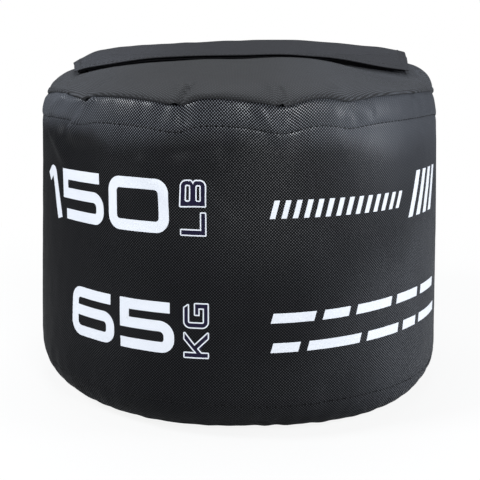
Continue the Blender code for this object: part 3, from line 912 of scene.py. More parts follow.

# %% [markdown]
# ## Woven nylon
#
# The shell is a coarse plain weave: threads about 1.3 mm apart that go over and under each other. The product of
# two sines, one along each direction of the cloth, is high where the upright thread is on top and low where the
# level one is, so it gives the chequered relief of such a weave. The crowns are also coloured paler and the gaps
# darker: painted highlight and painted shade. Dragging and loading rub the crowns smooth and pale in a band under the
# top seam, and that band is partly painted sheen too. The right of the front and the ends of the lid and the flap are
# painted paler as sheen, and a patch in the upper middle gets a shinier coat. Each mask is an even step over a place
# on the bag, so it stays on the cloth in every view.

# %% Weave and wear
THREAD = 0.0013
# The pale colour of worn crowns and of painted sheen, and the weave's shade where painted sheen evens it out.
WEAR_AND_SHEEN_PALE = colour(0.118, 0.127, 0.148)
SHEEN_SHADE = 0.58


def weave_height(across, up, thread):
    """0 in the gaps to 1 on the crowns of a plain weave."""
    first = (across * (pi / thread)).sine()
    second = (up * (pi / thread)).sine()
    return first * second * 0.5 + 0.5


def ends_painted_sheen(finish, sideways, slow, pale, ends):
    """The pale colour, mixed with the paler one towards the left and the right end: painted sheen."""
    # Painted sheen: the left and the right end are painted paler.
    rubbed = ends[0] * (1 - sideways.step(-0.16, -0.03)) + ends[1] * sideways.step(0.0, 0.15)
    return finish.mix(rubbed * (0.85 + 0.3 * slow), pale, WEAR_AND_SHEEN_PALE)


def wear_and_sheen_drum(finish, place, slow, dots, shade, pale, gloss):
    """The drum's shade, pale colour and polish. rubbed is the band under the seam, broad a wider one, right and left
    are the sides, and middle is the patch above the figures. The band is painted paler, partly wear and partly painted
    sheen. The right side is painted paler, and the weave is painted evener at both sides: painted sheen."""
    sideways, backward, height = place
    right = sideways.step(0.02, 0.19) * (1 - 0.8 * backward.step(-0.1, 0.08))
    left = 1 - sideways.step(-0.17, -0.09)
    middle = sideways.step(-0.09, 0.01) * (1 - sideways.step(0.06, 0.15)) * height.step(0.13, 0.2)
    rubbed = (height + 0.015 * slow + 0.01 * right - 0.015 * left).step(0.254, 0.28)
    broad = (height + 0.02 * slow).step(0.17, 0.27)

    shine = (gloss[1] - gloss[0]) * (0.5 * rubbed + 0.5 * broad) * (1 - 0.9 * right) + 0.45 * middle
    polish = dots * (gloss[0] * (0.6 + 0.8 * slow) * (1 + 0.9 * right * (1 - broad)) + shine)
    polish = polish * (1 - 0.5 * right * broad) * (0.45 + 0.55 * sideways.step(-0.17, -0.06))

    # Painted sheen: the weave's contrast is evened out and raised at the right, right of the middle and in the band at
    # the left.
    even = 0.25 * right + 0.6 * broad * sideways.step(0.04, 0.12) + 0.68 * rubbed * left
    shade = shade * (1 - even) + SHEEN_SHADE * even

    # The band under the seam is painted paler, partly wear and partly painted sheen, and the right side gets painted
    # sheen. Both fade towards the back.
    wear_and_sheen_band = rubbed * (1 - 0.75 * right) + 0.55 * right * height.step(0.19, 0.28)
    wear_and_sheen_band = wear_and_sheen_band * (0.85 + 0.35 * sideways.step(0.05, 0.1))
    wear_and_sheen_band = wear_and_sheen_band * (1 - 0.5 * right) * (1 - 0.7 * backward.step(-0.06, 0.1))
    # Painted sheen from the right: a paler haze down the right side.
    right_painted_sheen = 0.56 * right * (1 - 0.7 * broad) * (0.8 + 0.4 * slow)
    return shade, finish.mix(wear_and_sheen_band + right_painted_sheen, pale, WEAR_AND_SHEEN_PALE), polish


print(f"{1 / THREAD:.0f} threads to the metre")

# %% [markdown]
# ## The cloth's finishes
#
# One function makes every cloth here. They differ in colour, in the size and height of their threads, in how they
# are worn and in how much sheen and light is painted on them. Each piece then gets its finish, its body and the CAD
# nodes that it stands for.

# %% Cloth materials
def woven(name, dark, pale, thread=THREAD, relief=0.00024, rough=0.5, specular=0.03, gloss=(0.0, 0.0), crumple=0.0,
          sheen_ends=(0.0, 0.0)):
    """A plain-weave cloth whose threads stand relief high. gloss is how shiny the crowns are low down and under the top
    seam, crumple the height of small creases, and the last pair how much paler the left and the right end are painted:
    a painted sheen."""
    finish = Finish(name)
    across, up, _ = finish.parts(finish.place("cloth"))
    crown = weave_height(across, up, thread)
    dots = crown.step(0.54, 0.8)
    body = finish.place()
    slow = finish.noise(body, 9.0, 3.0).step(0.3, 0.7)
    fine = finish.noise(body, 420.0, 2.0)
    dust = finish.noise(body, 60.0, 4.0, 0.7).step(0.62, 0.8)
    # Painted highlight and painted shade: the crowns take the pale colour and the gaps between threads the dark one, on
    # top of the bump. Dust and a slow change add real tone.
    shade = dots * (0.75 + 0.25 * slow) + 0.08 * dust
    polish = 0.0
    place = finish.parts(body)
    if sheen_ends[1]:
        pale = ends_painted_sheen(finish, place[0], slow, pale, sheen_ends)
    if gloss[1]:
        shade, pale, polish = wear_and_sheen_drum(finish, place, slow, dots, shade, pale, gloss)
    creases = 0.0
    if crumple:
        stretched = finish.add("ShaderNodeVectorMath", {"operation": "MULTIPLY"}, {0: body, 1: (1.0, 1.6, 1.0)})
        creases = finish.noise(stretched, 45.0, 4.0, 0.55) * (crumple / relief)
    return finish.finish_with(
        Base_Color=finish.mix(shade, dark, pale),
        Roughness=rough + 0.08 * slow + 0.15 * (1 - crown),
        Normal=finish.bump(crown + 0.25 * fine + creases, 1.0, relief),
        Specular_IOR_Level=specular,
        Specular_Tint=colour(0.84, 0.9, 1.0),
        Coat_Weight=polish,
        Coat_Roughness=0.42,
        Coat_IOR=1.66,
    )


shell_finish = woven("nylon_shell", colour(0.003, 0.003, 0.0034), colour(0.0162, 0.0167, 0.019), gloss=(0.28, 1.0))
# Painted light: the lid and the flap are the same black nylon as the shell, painted several times paler because they
# face up to the lamps.
lid_finish = woven("nylon_lid_painted_paler", colour(0.026, 0.026, 0.027), colour(0.067, 0.069, 0.073), relief=0.00014,
                   crumple=0.0006, sheen_ends=(0.45, 0.95))
flap_finish = woven("nylon_flap_painted_paler", colour(0.022, 0.022, 0.024), colour(0.04, 0.041, 0.045), 0.0006, 0.00006,
                    crumple=0.0009, sheen_ends=(0.5, 0.26))
tape_finish = woven("binding_weave", colour(0.008, 0.008, 0.009), colour(0.026, 0.026, 0.029), 0.0006, 0.0001)
print("materials:", [material.name for material in bpy.data.materials])


def dress(piece, material, body="bag", replaced=()):
    """Gives a piece its material, its body and the nodes that it stands for."""
    piece.data.materials.clear()
    piece.data.materials.append(material)
    if replaced:
        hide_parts(*replaced)
    if body:
        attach(piece, body)
    return piece


def dress_tape(piece, node, body="bag"):
    return dress(piece, tape_finish, body, [node])


dress(wall_cloth, shell_finish, replaced=["wall_panel"])
dress(lid_front_cloth, lid_finish, replaced=["top_front_panel"])
dress(lid_rear_cloth, lid_finish, replaced=["top_rear_panel"])
dress(base_cloth, shell_finish, replaced=["base_panel"])
dress_tape(base_second_layer, "base_reinforcement")
dress(hem_cloth, flap_finish, replaced=["flap_hem"])
dress(loop_strip, tape_finish, replaced=["front_loop_tape"])
dress(hook_strip, tape_finish, "flap", ["flap_hook_tape"])
dress(closure_flap, flap_finish, None, ["closure_flap"])
dress_tape(flap_lining, "flap_lining", None)
for piece in (closure_flap, flap_lining):
    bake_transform(piece)

# %% [markdown]
# ## Stitching
#
# A row of stitches is a line of short threads that dive into the cloth at both ends. Each one here is a small
# six-sided sausage laid along the line, all of them made at once as one array. A real thread is under 1 mm thick and
# a stitch about 4 mm long on such a bag. Bump alone would vanish at the outline.

# %% Rows of stitches
STITCH_PITCH = 0.0044
STITCH_SHARE = 0.74
STITCH_RADIUS = 0.00042
# Each ring of a stitch: its share of the length, and its size and height as shares of the thread's radius.
STITCH_RINGS = np.array([(0.0, 0.4, -0.9), (0.16, 1.0, 0.25), (0.84, 1.0, 0.25), (1.0, 0.4, -0.9)])
STITCH_SIDES = 6


def stitch_arrays(line, normal, pitch=STITCH_PITCH):
    """Stitches along a line of points. Ring j of a stitch is at a share of its length, with a radius and a height
    over the cloth: point = centre + radius * (cos * side + sin * normal)."""
    along = np.concatenate([[0], np.cumsum(np.linalg.norm(np.diff(line, axis=0), axis=1))])
    count = max(int(along[-1] / pitch), 1)
    length = STITCH_SHARE * along[-1] / count
    starts = (np.arange(count) + 0.5) * along[-1] / count - length / 2
    places = starts[:, None] + STITCH_RINGS[None, :, 0] * length
    centre = np.stack([np.interp(places, along, line[:, axis]) for axis in range(3)], -1)
    out = np.stack([np.interp(places, along, normal[:, axis]) for axis in range(3)], -1)
    out = unit(out)
    ahead = np.broadcast_to(centre[:, -1:] - centre[:, :1], centre.shape)
    side = np.cross(out, unit(ahead))
    angle = np.arange(STITCH_SIDES) * tau / STITCH_SIDES
    radius = STITCH_RADIUS * STITCH_RINGS[:, 1]
    centre = centre + out * (STITCH_RADIUS * STITCH_RINGS[:, 2])[None, :, None]
    round_it = np.cos(angle)[:, None] * side[:, :, None, :] + np.sin(angle)[:, None] * out[:, :, None, :]
    points = centre[:, :, None, :] + radius[None, :, None, None] * round_it
    ring = np.arange(STITCH_SIDES)
    next_one = (ring + 1) % STITCH_SIDES
    faces = [np.stack([ring, next_one, next_one + STITCH_SIDES, ring + STITCH_SIDES], -1) + STITCH_SIDES * row
             for row in range(len(STITCH_RINGS) - 1)]
    last = STITCH_SIDES * (len(STITCH_RINGS) - 1)
    faces.append(np.array([(3, 2, 1, 0), (5, 4, 3, 0), (last, last + 1, last + 2, last + 3),
                           (last, last + 3, last + 4, last + 5)]))
    faces = np.concatenate(faces)
    each = points.shape[1] * STITCH_SIDES
    all_faces = (faces[None] + each * np.arange(count)[:, None, None]).reshape(-1, 4)
    thread_place = pairs(places[:, :, None], angle * STITCH_RADIUS).reshape(-1, 2)
    return points.reshape(-1, 3), all_faces, thread_place[all_faces]


def stitches_on(surface, first, second, pitch=STITCH_PITCH):
    """A row of stitches along a line given by the two parameters of a surface."""
    first, second = np.broadcast_arrays(first, second)
    return stitch_arrays(surface(first, second), normal_on(surface, first, second), pitch)


def twisted_thread(name, dark, pale):
    """Sewing thread: a sine over the way along and round it gives the slanted turns of its strands."""
    finish = Finish(name)
    along, around, _ = finish.parts(finish.place("cloth"))
    twist = (along * 5200.0 + around * 2600.0).sine() * 0.5 + 0.5
    return finish.finish_with(
        Base_Color=finish.mix(twist, dark, pale),
        Roughness=0.6,
        Normal=finish.bump(twist, 0.6, 0.0001),
        Specular_IOR_Level=0.08,
    )


thread_finish = twisted_thread("sewing_thread", colour(0.001, 0.001, 0.001), colour(0.009, 0.009, 0.01))
# Painted light: the thread on the lid and the flap is painted as pale as the flap cloth, much paler than the thread on
# the wall.
flap_thread_painted_paler = twisted_thread("flap_thread_painted_paler", colour(0.018, 0.018, 0.02), colour(0.04, 0.041, 0.044))
print(f"a stitch is {1000 * STITCH_SHARE * STITCH_PITCH:.1f} mm long")

# %% [markdown]
# ## The wall's seams
#
# One row holds the top seam's allowance, one goes round above the base corner, and two run up the flat seam at the
# back, where the ring of cloth was closed.

# %% Wall stitches
BACK_ROW_ASIDE = 0.0036
BACK_ROW_END = 0.004


def up_of(level):
    """The way along the cloth from the base seam to a height above the base corner."""
    return corner_length + level - BASE_CORNER


whole_turn = np.linspace(-pi, pi, 1200)
corner = corner_size(whole_turn)
corner_arc = corner * (pi / 2 - BASE_SEAM_ANGLE)
stitch_level = base_stitch_level(whole_turn)
on_arc = corner * (np.arccos(np.clip(1 - stitch_level / corner, -1, 1)) - BASE_SEAM_ANGLE)
corner_way = np.where(stitch_level < corner, on_arc, corner_arc + stitch_level - corner)
corner_up = corner_length * corner_way / (corner_arc + BASE_CORNER - corner)
back_up = np.linspace(BACK_ROW_END, wall_length - BACK_ROW_END, 160)
back_turn = BACK_ROW_ASIDE / MAP_RADIUS
wall_rows = [
    stitches_on(wall_surface, whole_turn, up_of(topstitch_level(whole_turn))),
    stitches_on(wall_surface, whole_turn, corner_up),
    stitches_on(wall_surface, pi - back_turn, back_up),
    stitches_on(wall_surface, pi + back_turn, back_up),
]
wall_stitches = dress(together("wall_stitches", wall_rows), thread_finish)
print("wall stitches:", face_count(wall_stitches), "faces")

# %% [markdown]
# ## Printed figures
#
# The weight is printed on the wall in thick white ink: figures made of broad bars with rounded outer corners. A bar is
# a stroke along a path. The path's corners are rounded first, then both edges are found with mitred offsets, and the
# grid between them is laid on the wall's own surface, so the ink follows every dent and shares the cloth's weave.

# %% Strokes of ink and two inks
INK_HEIGHT = 0.00022
INK_DEPTH = 0.0002
INK_STEP = 0.0024
BAR_WIDTH = 0.0095


def rounded_path(points, closed):
    """Replaces each corner (x, y, radius) of a path by an arc of that radius, and adds points along the rest."""
    corners = np.array([point[:2] for point in points], float)
    radii = [point[2] if len(point) > 2 else 0 for point in points]
    count = len(corners)
    made = []
    for i in range(count):
        corner = corners[i]
        if not closed and i in (0, count - 1) or radii[i] == 0:
            made.append(corner[None])
            continue
        before = corners[i - 1] - corner
        after = corners[(i + 1) % count] - corner
        before, after = before / np.linalg.norm(before), after / np.linalg.norm(after)
        half = math.acos(np.clip(np.dot(before, after), -1, 1)) / 2
        reach = radii[i] / math.tan(half)
        middle = corner + (before + after) / np.linalg.norm(before + after) * radii[i] / math.sin(half)
        share = np.linspace(0, 1, 9)[:, None]
        arc = corner + before * reach * (1 - share) + after * reach * share - middle
        made.append(middle + unit(arc) * radii[i])
    line = np.concatenate(made + ([made[0][:1]] if closed else []))
    pieces = []
    for start, end in zip(line[:-1], line[1:]):
        steps = max(int(np.linalg.norm(end - start) / INK_STEP), 1)
        pieces.append(start + (end - start) * np.linspace(0, 1, steps, endpoint=False)[:, None])
    return np.concatenate(pieces + ([] if closed else [line[-1:]]))


def stroke(points, width=BAR_WIDTH, closed=False, slant=0.0, columns=5, height=INK_HEIGHT):
    """The arrays of one stroke of ink. At each point of the path the edge is offset along the mitre, which is the mean
    of the two neighbouring normals divided by the cosine of half the bend."""
    line = rounded_path(points, closed)
    if closed:
        ahead, behind = np.roll(line, -1, 0) - line, line - np.roll(line, 1, 0)
    else:
        step = np.diff(line, axis=0)
        ahead, behind = np.concatenate([step, step[-1:]]), np.concatenate([step[:1], step])
    ahead, behind = unit(ahead), unit(behind)
    normal = unit(np.stack([-(ahead + behind)[:, 1], (ahead + behind)[:, 0]], -1))
    mitre = normal / np.sqrt(np.clip((1 + (ahead * behind).sum(1, keepdims=True)) / 2, 0.2, 1))
    across = np.linspace(-width / 2, width / 2, columns)
    flat = line[None] + mitre[None] * across[:, None, None]
    arc = flat[..., 0] + slant * (flat[..., 1] - line[:, 1].mean())
    turn, up = arc / MAP_RADIUS, up_of(flat[..., 1])
    return shell_arrays(wall_surface(turn, up, height), wall_surface(turn, up, -INK_DEPTH),
                        np.stack([arc, up], -1), closed=closed)


ink = Finish("white_ink")
ink_across, ink_up, _ = ink.parts(ink.place("cloth"))
ink_crown = weave_height(ink_across, ink_up, THREAD)
ink_wear = ink.noise(ink.place(), 700.0, 3.0).step(0.66, 0.8)
ink_shade = ink.noise(ink.place(), 25.0, 2.0)
ink_finish = ink.finish_with(
    Base_Color=ink.mix(ink_wear * 0.25, ink.mix(ink_shade, colour(0.56, 0.58, 0.63), colour(0.64, 0.66, 0.7)),
                       colour(0.3, 0.31, 0.36)),
    Roughness=0.55 + 0.1 * ink_shade,
    Normal=ink.bump(ink_crown, 1.0, 0.00004),
    Specular_IOR_Level=0.08,
)
fill_ink = Finish("dark_ink")
fill_worn = fill_ink.noise(fill_ink.place(), 300.0, 2.0)
fill_finish = fill_ink.finish_with(
    Base_Color=fill_ink.mix(fill_worn, colour(0.004, 0.003, 0.013), colour(0.01, 0.008, 0.028)),
    Roughness=0.55,
    Specular_IOR_Level=0.1,
)
print("inks:", ink_finish.name, fill_finish.name)

# %% [markdown]
# ## The two rows of figures
#
# Places are in metres round the wall from its front and above the floor. The upper row says 150 and the lower one 65,
# in plain squared figures. Beside each stands its unit, turned on its side: thin white outlines with bars of a dark ink
# between them. These are drawn on letters that stand upright, in millimetres, and then turned.

# %% Figures and units
UPPER_LOW, UPPER_HIGH = 0.1893, 0.2249
LOWER_LOW, LOWER_HIGH = 0.0842, 0.1198
ONE_WIDTH = 0.0092


def box_path(left, right, low, high, radius):
    return [(left, low, radius), (right, low, radius), (right, high, radius), (left, high, radius)]


def five(left, right, low, high, bar=-0.0005, foot=0.0012):
    """The path of a squared five with a broad round bowl. bar and foot move the ends of its bar and its foot."""
    middle = low + 0.53 * (high - low)
    return [(right + bar, high), (left, high), (left, middle), (right, middle, 0.0088), (right, low, 0.0072),
            (left + foot, low)]


upper_figures = [
    stroke([(-0.2235, 0.219), (-0.2107, 0.2286, 0.004), (-0.1982, 0.1826)], ONE_WIDTH),
    stroke(five(-0.1852, -0.1322, UPPER_LOW - 0.0006, UPPER_HIGH)),
    stroke(box_path(-0.116, -0.0638, UPPER_LOW - 0.0008, UPPER_HIGH, 0.008), closed=True),
]
lower_figures = [
    stroke([(-0.1192, LOWER_HIGH), (-0.1672, LOWER_HIGH, 0.008), (-0.1672, LOWER_LOW - 0.0003, 0.009),
            (-0.12, LOWER_LOW - 0.0003, 0.0072), (-0.12, 0.1032, 0.008), (-0.1624, 0.1032)]),
    stroke(five(-0.1036, -0.0603, LOWER_LOW, LOWER_HIGH, 0.001, -0.0046)),
]

OUTLINE_WIDTH = 0.00105
LETTER_BAR_WIDTH = 0.0044
LETTER_SQUEEZE = 0.00092
FILL_LOWER = 0.00008
LETTERS = {
    "L": [[(0, 0, 0.6), (19.2, 0, 0.6), (19.2, 4.8, 0.6), (4.8, 4.8), (4.8, 23.4, 0.6), (0, 23.4, 0.6)]],
    "B": [
        [(0, 0, 0.6), (21.4, 0, 5), (21.4, 10.2, 2), (19.2, 11.7), (21.4, 13.2, 2), (21.4, 23.4, 5), (0, 23.4, 0.6)],
        [(4.6, 4.9, 1), (17.2, 4.9, 1), (17.2, 8.7, 1), (4.6, 8.7, 1)],
        [(4.6, 14.7, 1), (17.2, 14.7, 1), (17.2, 18.5, 1), (4.6, 18.5, 1)],
    ],
    "K": [[(0, 0, 0.6), (4.6, 0, 0.6), (4.6, 6.6), (8.2, 9.9), (17.2, 0, 0.6), (23.2, 0, 0.6), (11.5, 13),
           (23.2, 23, 0.6), (16.4, 23, 0.6), (4.6, 12.2), (4.6, 23, 0.6), (0, 23, 0.6)]],
    "G": [[(17.6, 23, 0.8), (0, 23, 5.5), (0, 0, 5.5), (21.5, 0, 0.6), (21.5, 12.8, 0.6), (11.2, 12.8, 0.6),
           (11.2, 8.6), (16.9, 8.6), (16.9, 4.6), (4.6, 4.6, 1), (4.6, 18.4, 1), (20.8, 18.4, 0.6)]],
}
LETTER_BARS = {
    "L": [((0, 2.4), (19.2, 2.4)), ((2.4, 4.8), (2.4, 23.4))],
    "B": [((0, 2.4), (19.2, 2.4)), ((0, 11.7), (19.2, 11.7)), ((0, 21.0), (19.2, 21.0)), ((2.3, 2), (2.3, 21)),
          ((19.3, 3), (19.3, 20.4))],
    "K": [((2.3, 0), (2.3, 23)), ((3.5, 10.5), (19.5, 22.4)), ((5.5, 12.0), (19.8, 0.6))],
    "G": [((17.0, 20.7), (3.0, 20.7)), ((2.3, 3), (2.3, 20)), ((2, 2.3), (19.2, 2.3)), ((19.2, 0.6), (19.2, 12.4)),
          ((11.6, 10.7), (19.2, 10.7))],
}
# Each unit's letters, with the place of their right edge and of their bottom on the wall.
UPPER_UNITS = (("L", -0.0274, 0.1835), ("B", -0.0274, 0.2078))
LOWER_UNITS = (("K", -0.0258, 0.0774), ("G", -0.0258, 0.1038))


def turned_place(place, right, bottom):
    """A place in a letter, in millimetres, turned a quarter anticlockwise: its up is to the left, its right is up."""
    u, v, *rest = place
    return (right - LETTER_SQUEEZE * v, bottom + 0.001 * u, *(0.001 * radius for radius in rest))


def unit_letter(letter, right, bottom):
    """The thin outlines of a letter."""
    return [stroke([turned_place(place, right, bottom) for place in outline], OUTLINE_WIDTH, True, columns=2)
            for outline in LETTERS[letter]]


def unit_fill(letter, right, bottom):
    """The bars of dark ink inside a letter's outlines."""
    return [stroke([turned_place(place, right, bottom) for place in bar], LETTER_BAR_WIDTH, columns=3,
                   height=INK_HEIGHT - FILL_LOWER) for bar in LETTER_BARS[letter]]


upper_unit = [arrays for unit in UPPER_UNITS for arrays in unit_letter(*unit)]
lower_unit = [arrays for unit in LOWER_UNITS for arrays in unit_letter(*unit)]
fill_arrays = [arrays for unit in UPPER_UNITS + LOWER_UNITS for arrays in unit_fill(*unit)]
unit_ink = dress(together("unit_fill", fill_arrays), fill_finish)
upper_print = dress(together("upper_figures", upper_figures + upper_unit), ink_finish)
lower_print = dress(together("lower_figures", lower_figures + lower_unit), ink_finish)
print("figures:", face_count(upper_print, lower_print), "faces")

# %% [markdown]
# ## Bindings inside the bag
#
# Strips of tape cover the raw edges inside: one round the base seam, one round the top seam and one up the back seam.
# The last two follow the wall's own surface, a little further in, so they bend with its folds.

# %% Seam bindings
INNER_LIFT = -(CLOTH + GAP)
BASE_BAND_HALF = 0.0068
BASE_BAND_INSET = 0.0038
BACK_TAPE_HALF = 0.012


def ring_piece(name, outer, inner, turn, along):
    """A closed ring of tape between two grids. Its cloth place is the way round by the way across."""
    place = pairs(turn * MAP_RADIUS, along)
    return shell(name, outer, inner, place, closed=True, period=tau * MAP_RADIUS)


def corner_band(turn, along, inset):
    """A point inside the base corner, on its circle made smaller by inset. along is the way from the base seam."""
    corner = corner_size(turn)
    angle = BASE_SEAM_ANGLE + along / corner
    radius = body_radius - corner + (corner - inset) * np.sin(angle)
    height = corner - (corner - inset) * np.cos(angle)
    return round_axis(turn, radius, height)


ring_turns = turns_round(240)
band_along = np.linspace(-BASE_BAND_HALF, BASE_BAND_HALF, 9)[:, None]
base_ring = ring_piece("base_seam_tape", corner_band(ring_turns, band_along, BASE_BAND_INSET),
                       corner_band(ring_turns, band_along, BASE_BAND_INSET + LINING), ring_turns, band_along)
top_up = np.linspace(wall_length - 0.012, wall_length - 0.0003, 9)[:, None]
top_turns = turns[:, ::2]
top_ring = ring_piece("top_seam_tape", wall_surface(top_turns, top_up, INNER_LIFT),
                      wall_surface(top_turns, top_up, INNER_LIFT - LINING), top_turns, top_up)
seam_turns = pi + np.linspace(-BACK_TAPE_HALF, BACK_TAPE_HALF, 11)[None, :] / MAP_RADIUS
seam_up = np.linspace(up_of(0.041), wall_length - 0.0135, 90)[:, None]
back_tape = shell("back_seam_tape", wall_surface(seam_turns, seam_up, INNER_LIFT),
                  wall_surface(seam_turns, seam_up, INNER_LIFT - LINING), drum_map(seam_turns, seam_up))
dress_tape(base_ring, "base_seam_binding")
dress_tape(top_ring, "top_seam_binding")
dress_tape(back_tape, "wall_seam_binding")
print("bindings:", face_count(base_ring, top_ring, back_tape), "faces")

# %% [markdown]
# ## The zip's tapes and end tabs
#
# The zip is a heavy moulded one. Its two tapes lie under the edges of the slot, so each point of a tape is at the
# CAD's height or just under the lid's cloth, whichever is lower. The tabs at the ends lie on top of the lid.

# %% Zip tapes and tabs
tape_low, tape_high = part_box("zip_tape_rear")
teeth_low, teeth_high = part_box("zip_teeth_rear")
TAPE_INNER_EDGE = 0.0034
UNDER_LID = LINING + 0.0005


def tape_top(x, y):
    """The upper face of a zip tape: level, but half a millimetre or more under the lid's lower face."""
    return np.minimum(tape_high.z, lid_height(x, y) - UNDER_LID) + 0 * x


def zip_tape(name, side):
    x, y = np.meshgrid(np.linspace(tape_low.x, tape_high.x, 150), side * np.linspace(TAPE_INNER_EDGE, tape_high.y, 12))
    top = tape_top(x, y)
    outer, inner = np.stack([x, y, top], -1), np.stack([x, y, top - LINING], -1)
    return shell(name, outer, inner, np.stack([x, y], -1))


zip_tapes = {word: zip_tape(f"zip_tape_{word}_cloth", side) for word, side in (("front", -1), ("rear", 1))}
for word, piece in zip_tapes.items():
    dress_tape(piece, f"zip_tape_{word}")
end_tabs = []
for word in ("left", "right"):
    low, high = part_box(f"zip_end_tab_{word}")
    tab = strip(f"end_tab_{word}", (low.x, high.x), (low.y, high.y), 14, 24, on_lid, LINING)
    end_tabs.append(dress_tape(tab, f"zip_end_tab_{word}"))
print("zip tapes and tabs:", len(zip_tapes) + len(end_tabs))

# %% [markdown]
# ## Moulded teeth
#
# Each tooth is cast round the tape's edge: a broad foot, a neck and a round head that reaches past the middle between
# two teeth of the other row. One tooth is a symmetric outline on four levels, smaller at the top and bottom, and the
# row is that array shifted by the pitch.

# %% Zip teeth
TOOTH_PITCH = 0.005
TOOTH_HALF_OUTLINE = np.array([(0.3, -1.35), (0.95, -1.05), (1.2, -0.35), (1.05, 0.55), (0.72, 1.2), (0.75, 1.9),
                               (1.3, 2.6), (1.35, 4.3)]) / 1000
TOOTH_MIDDLE = np.array([0.0, 1.5e-3])
# Each level: its share of the height from the middle, and the outline's size there.
TOOTH_LEVELS = np.array([(-0.5, 0.78), (-0.36, 1.0), (0.36, 1.0), (0.5, 0.78)])


def teeth_row(name, side):
    """One row of teeth: point = outline shrunk about its middle per level, plus the tooth's place along the zip."""
    half = TOOTH_HALF_OUTLINE
    outline = np.concatenate([half * (-1, 1), half[::-1]])
    rings = TOOTH_MIDDLE + (outline - TOOTH_MIDDLE)[None] * TOOTH_LEVELS[:, 1, None, None]
    height = (teeth_high.z - teeth_low.z) * TOOTH_LEVELS[:, 0] + (teeth_high.z + teeth_low.z) / 2
    points = np.concatenate([rings, np.broadcast_to(height[:, None, None], (*rings.shape[:2], 1))], -1).reshape(-1, 3)
    count = int((teeth_high.x - teeth_low.x - 0.003) / TOOTH_PITCH)
    shift = (np.arange(count) - (count - 1) / 2) * TOOTH_PITCH + side * TOOTH_PITCH / 4
    faces = prism_faces(len(outline))
    tooth = points[None] * (1, side, 1) + np.stack([shift, 0 * shift, 0 * shift], -1)[:, None]
    all_faces = (faces[None] + len(points) * np.arange(count)[:, None, None]).reshape(-1, 4)
    tooth = tooth.reshape(-1, 3)
    return put_together(name, tooth, all_faces, tooth[all_faces][..., :2], 35)


def hard_finish(name, base, worn, roughness, metallic, specular=0.5):
    """Moulded or cast material: a slow change of gloss, fine pits, and a paler colour where it is worn."""
    finish = Finish(name)
    body = finish.place()
    wear = finish.noise(body, 380.0, 3.0).step(0.5, 0.72)
    slow = finish.noise(body, 70.0, 2.0)
    pits = finish.noise(body, 2400.0, 2.0)
    return finish.finish_with(
        Base_Color=finish.mix(wear, base, worn),
        Roughness=roughness + 0.14 * slow + 0.06 * wear,
        Metallic=metallic,
        Normal=finish.bump(pits, 0.25, 0.00006),
        Specular_IOR_Level=specular,
    )


tooth_finish = hard_finish("moulded_teeth", colour(0.012, 0.012, 0.013), colour(0.04, 0.04, 0.042), 0.32, 0.0, 0.4)
zip_metal = hard_finish("black_nickel", colour(0.1, 0.1, 0.105), colour(0.33, 0.32, 0.31), 0.26, 1.0)
for word, side in (("front", -1), ("rear", 1)):
    row = teeth_row(f"zip_{word}_row", side)
    dress(row, tooth_finish, replaced=[f"zip_teeth_{word}"])
print("teeth in each row:", face_count(row) // len(prism_faces(2 * len(TOOTH_HALF_OUTLINE))))

# %% [markdown]
# ## Stops, slider and puller
#
# The metal parts are small castings. A plate is an outline on four levels, with its edges drawn in at the top and
# bottom for a bevel. The slider is two such plates, a wedge between them and a bridge on top that holds the puller.

# %% Cast metal
def superellipse(half_long, half_wide, power, count=32):
    """An outline whose corners are rounder or squarer: cosine and sine, each to 2 divided by the power."""
    angle = (np.arange(count) + 0.5) * tau / count
    circle = pairs(np.cos(angle), np.sin(angle))
    return (half_long, half_wide) * np.sign(circle) * np.abs(circle) ** (2 / power)


def plate_arrays(outline, middle, low, high, bevel, hole=None, upright=False):
    """A bevelled plate between two levels, solid or with a hole. An upright one stands in the plane of x and z, and
    low and high are then its y."""
    heights = (low, low + bevel, high - bevel, high)

    def levels(line, way):
        ends = line * (1 - way * bevel / np.linalg.norm(line, axis=1, keepdims=True))
        flat = [np.insert(ring + middle, 2, z, axis=1) for ring, z in zip((ends, line, line, ends), heights)]
        return np.stack(flat)

    outer = levels(outline, 1)
    if hole is None:
        points, faces = outer.reshape(-1, 3), prism_faces(len(outline))
        place = points[faces][..., :2]
    else:
        inner = levels(hole, -1)
        points, faces, place = shell_arrays(outer, inner, outer[..., :2], inner[..., :2], closed=True)
        corners = points[faces]
        if np.einsum("ij,ij->", corners[:, 0], np.cross(corners[:, 1], corners[:, 2] - corners[:, 0])) < 0:
            faces, place = faces[:, ::-1], place[:, ::-1]
    if upright:
        points, faces, place = points[:, [0, 2, 1]], faces[:, ::-1], place[:, ::-1]
    return points, faces, place


for word in ("open", "closed"):
    low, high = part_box(f"zip_stop_{word}_end")
    half, middle = (high - low) / 2, (high + low) / 2
    block = plate_arrays(superellipse(half.x, half.y, 5), (middle.x, middle.y), low.z, high.z, 0.0005)
    stop = together(f"zip_stop_{word}", [block], 35)
    dress(stop, zip_metal, replaced=[f"zip_stop_{word}_end"])

slider_low, slider_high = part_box("zip_slider")
puller_low, puller_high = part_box("zip_puller")
pin_height = (puller_low.z + puller_high.z) / 2
slider_x = (slider_low.x + slider_high.x) / 2
plate_low, plate_high = teeth_high.z + 0.0003, teeth_high.z + 0.0015
teeth_middle = (teeth_low.z + teeth_high.z) / 2
SLIDER_BEVEL = 0.0004
lower_low, lower_high = 2 * teeth_middle - plate_high, 2 * teeth_middle - plate_low
slider_outline = superellipse(0.008, 0.006, 3.2)
flange = superellipse(0.007, 0.0005, 6, 12)
bridge = superellipse(0.0033, 0.003, 2.4, 24)
bridge_parts = [plate_arrays(bridge, (slider_x, pin_height - 0.0022), side * 0.0029 - 0.0006, side * 0.0029 + 0.0006,
                             0.0003, upright=True) for side in (-1, 1)]
pin = plate_arrays(superellipse(0.0009, 0.0009, 2, 12), (slider_x, pin_height), -0.0028, 0.0028, 0.0002, upright=True)
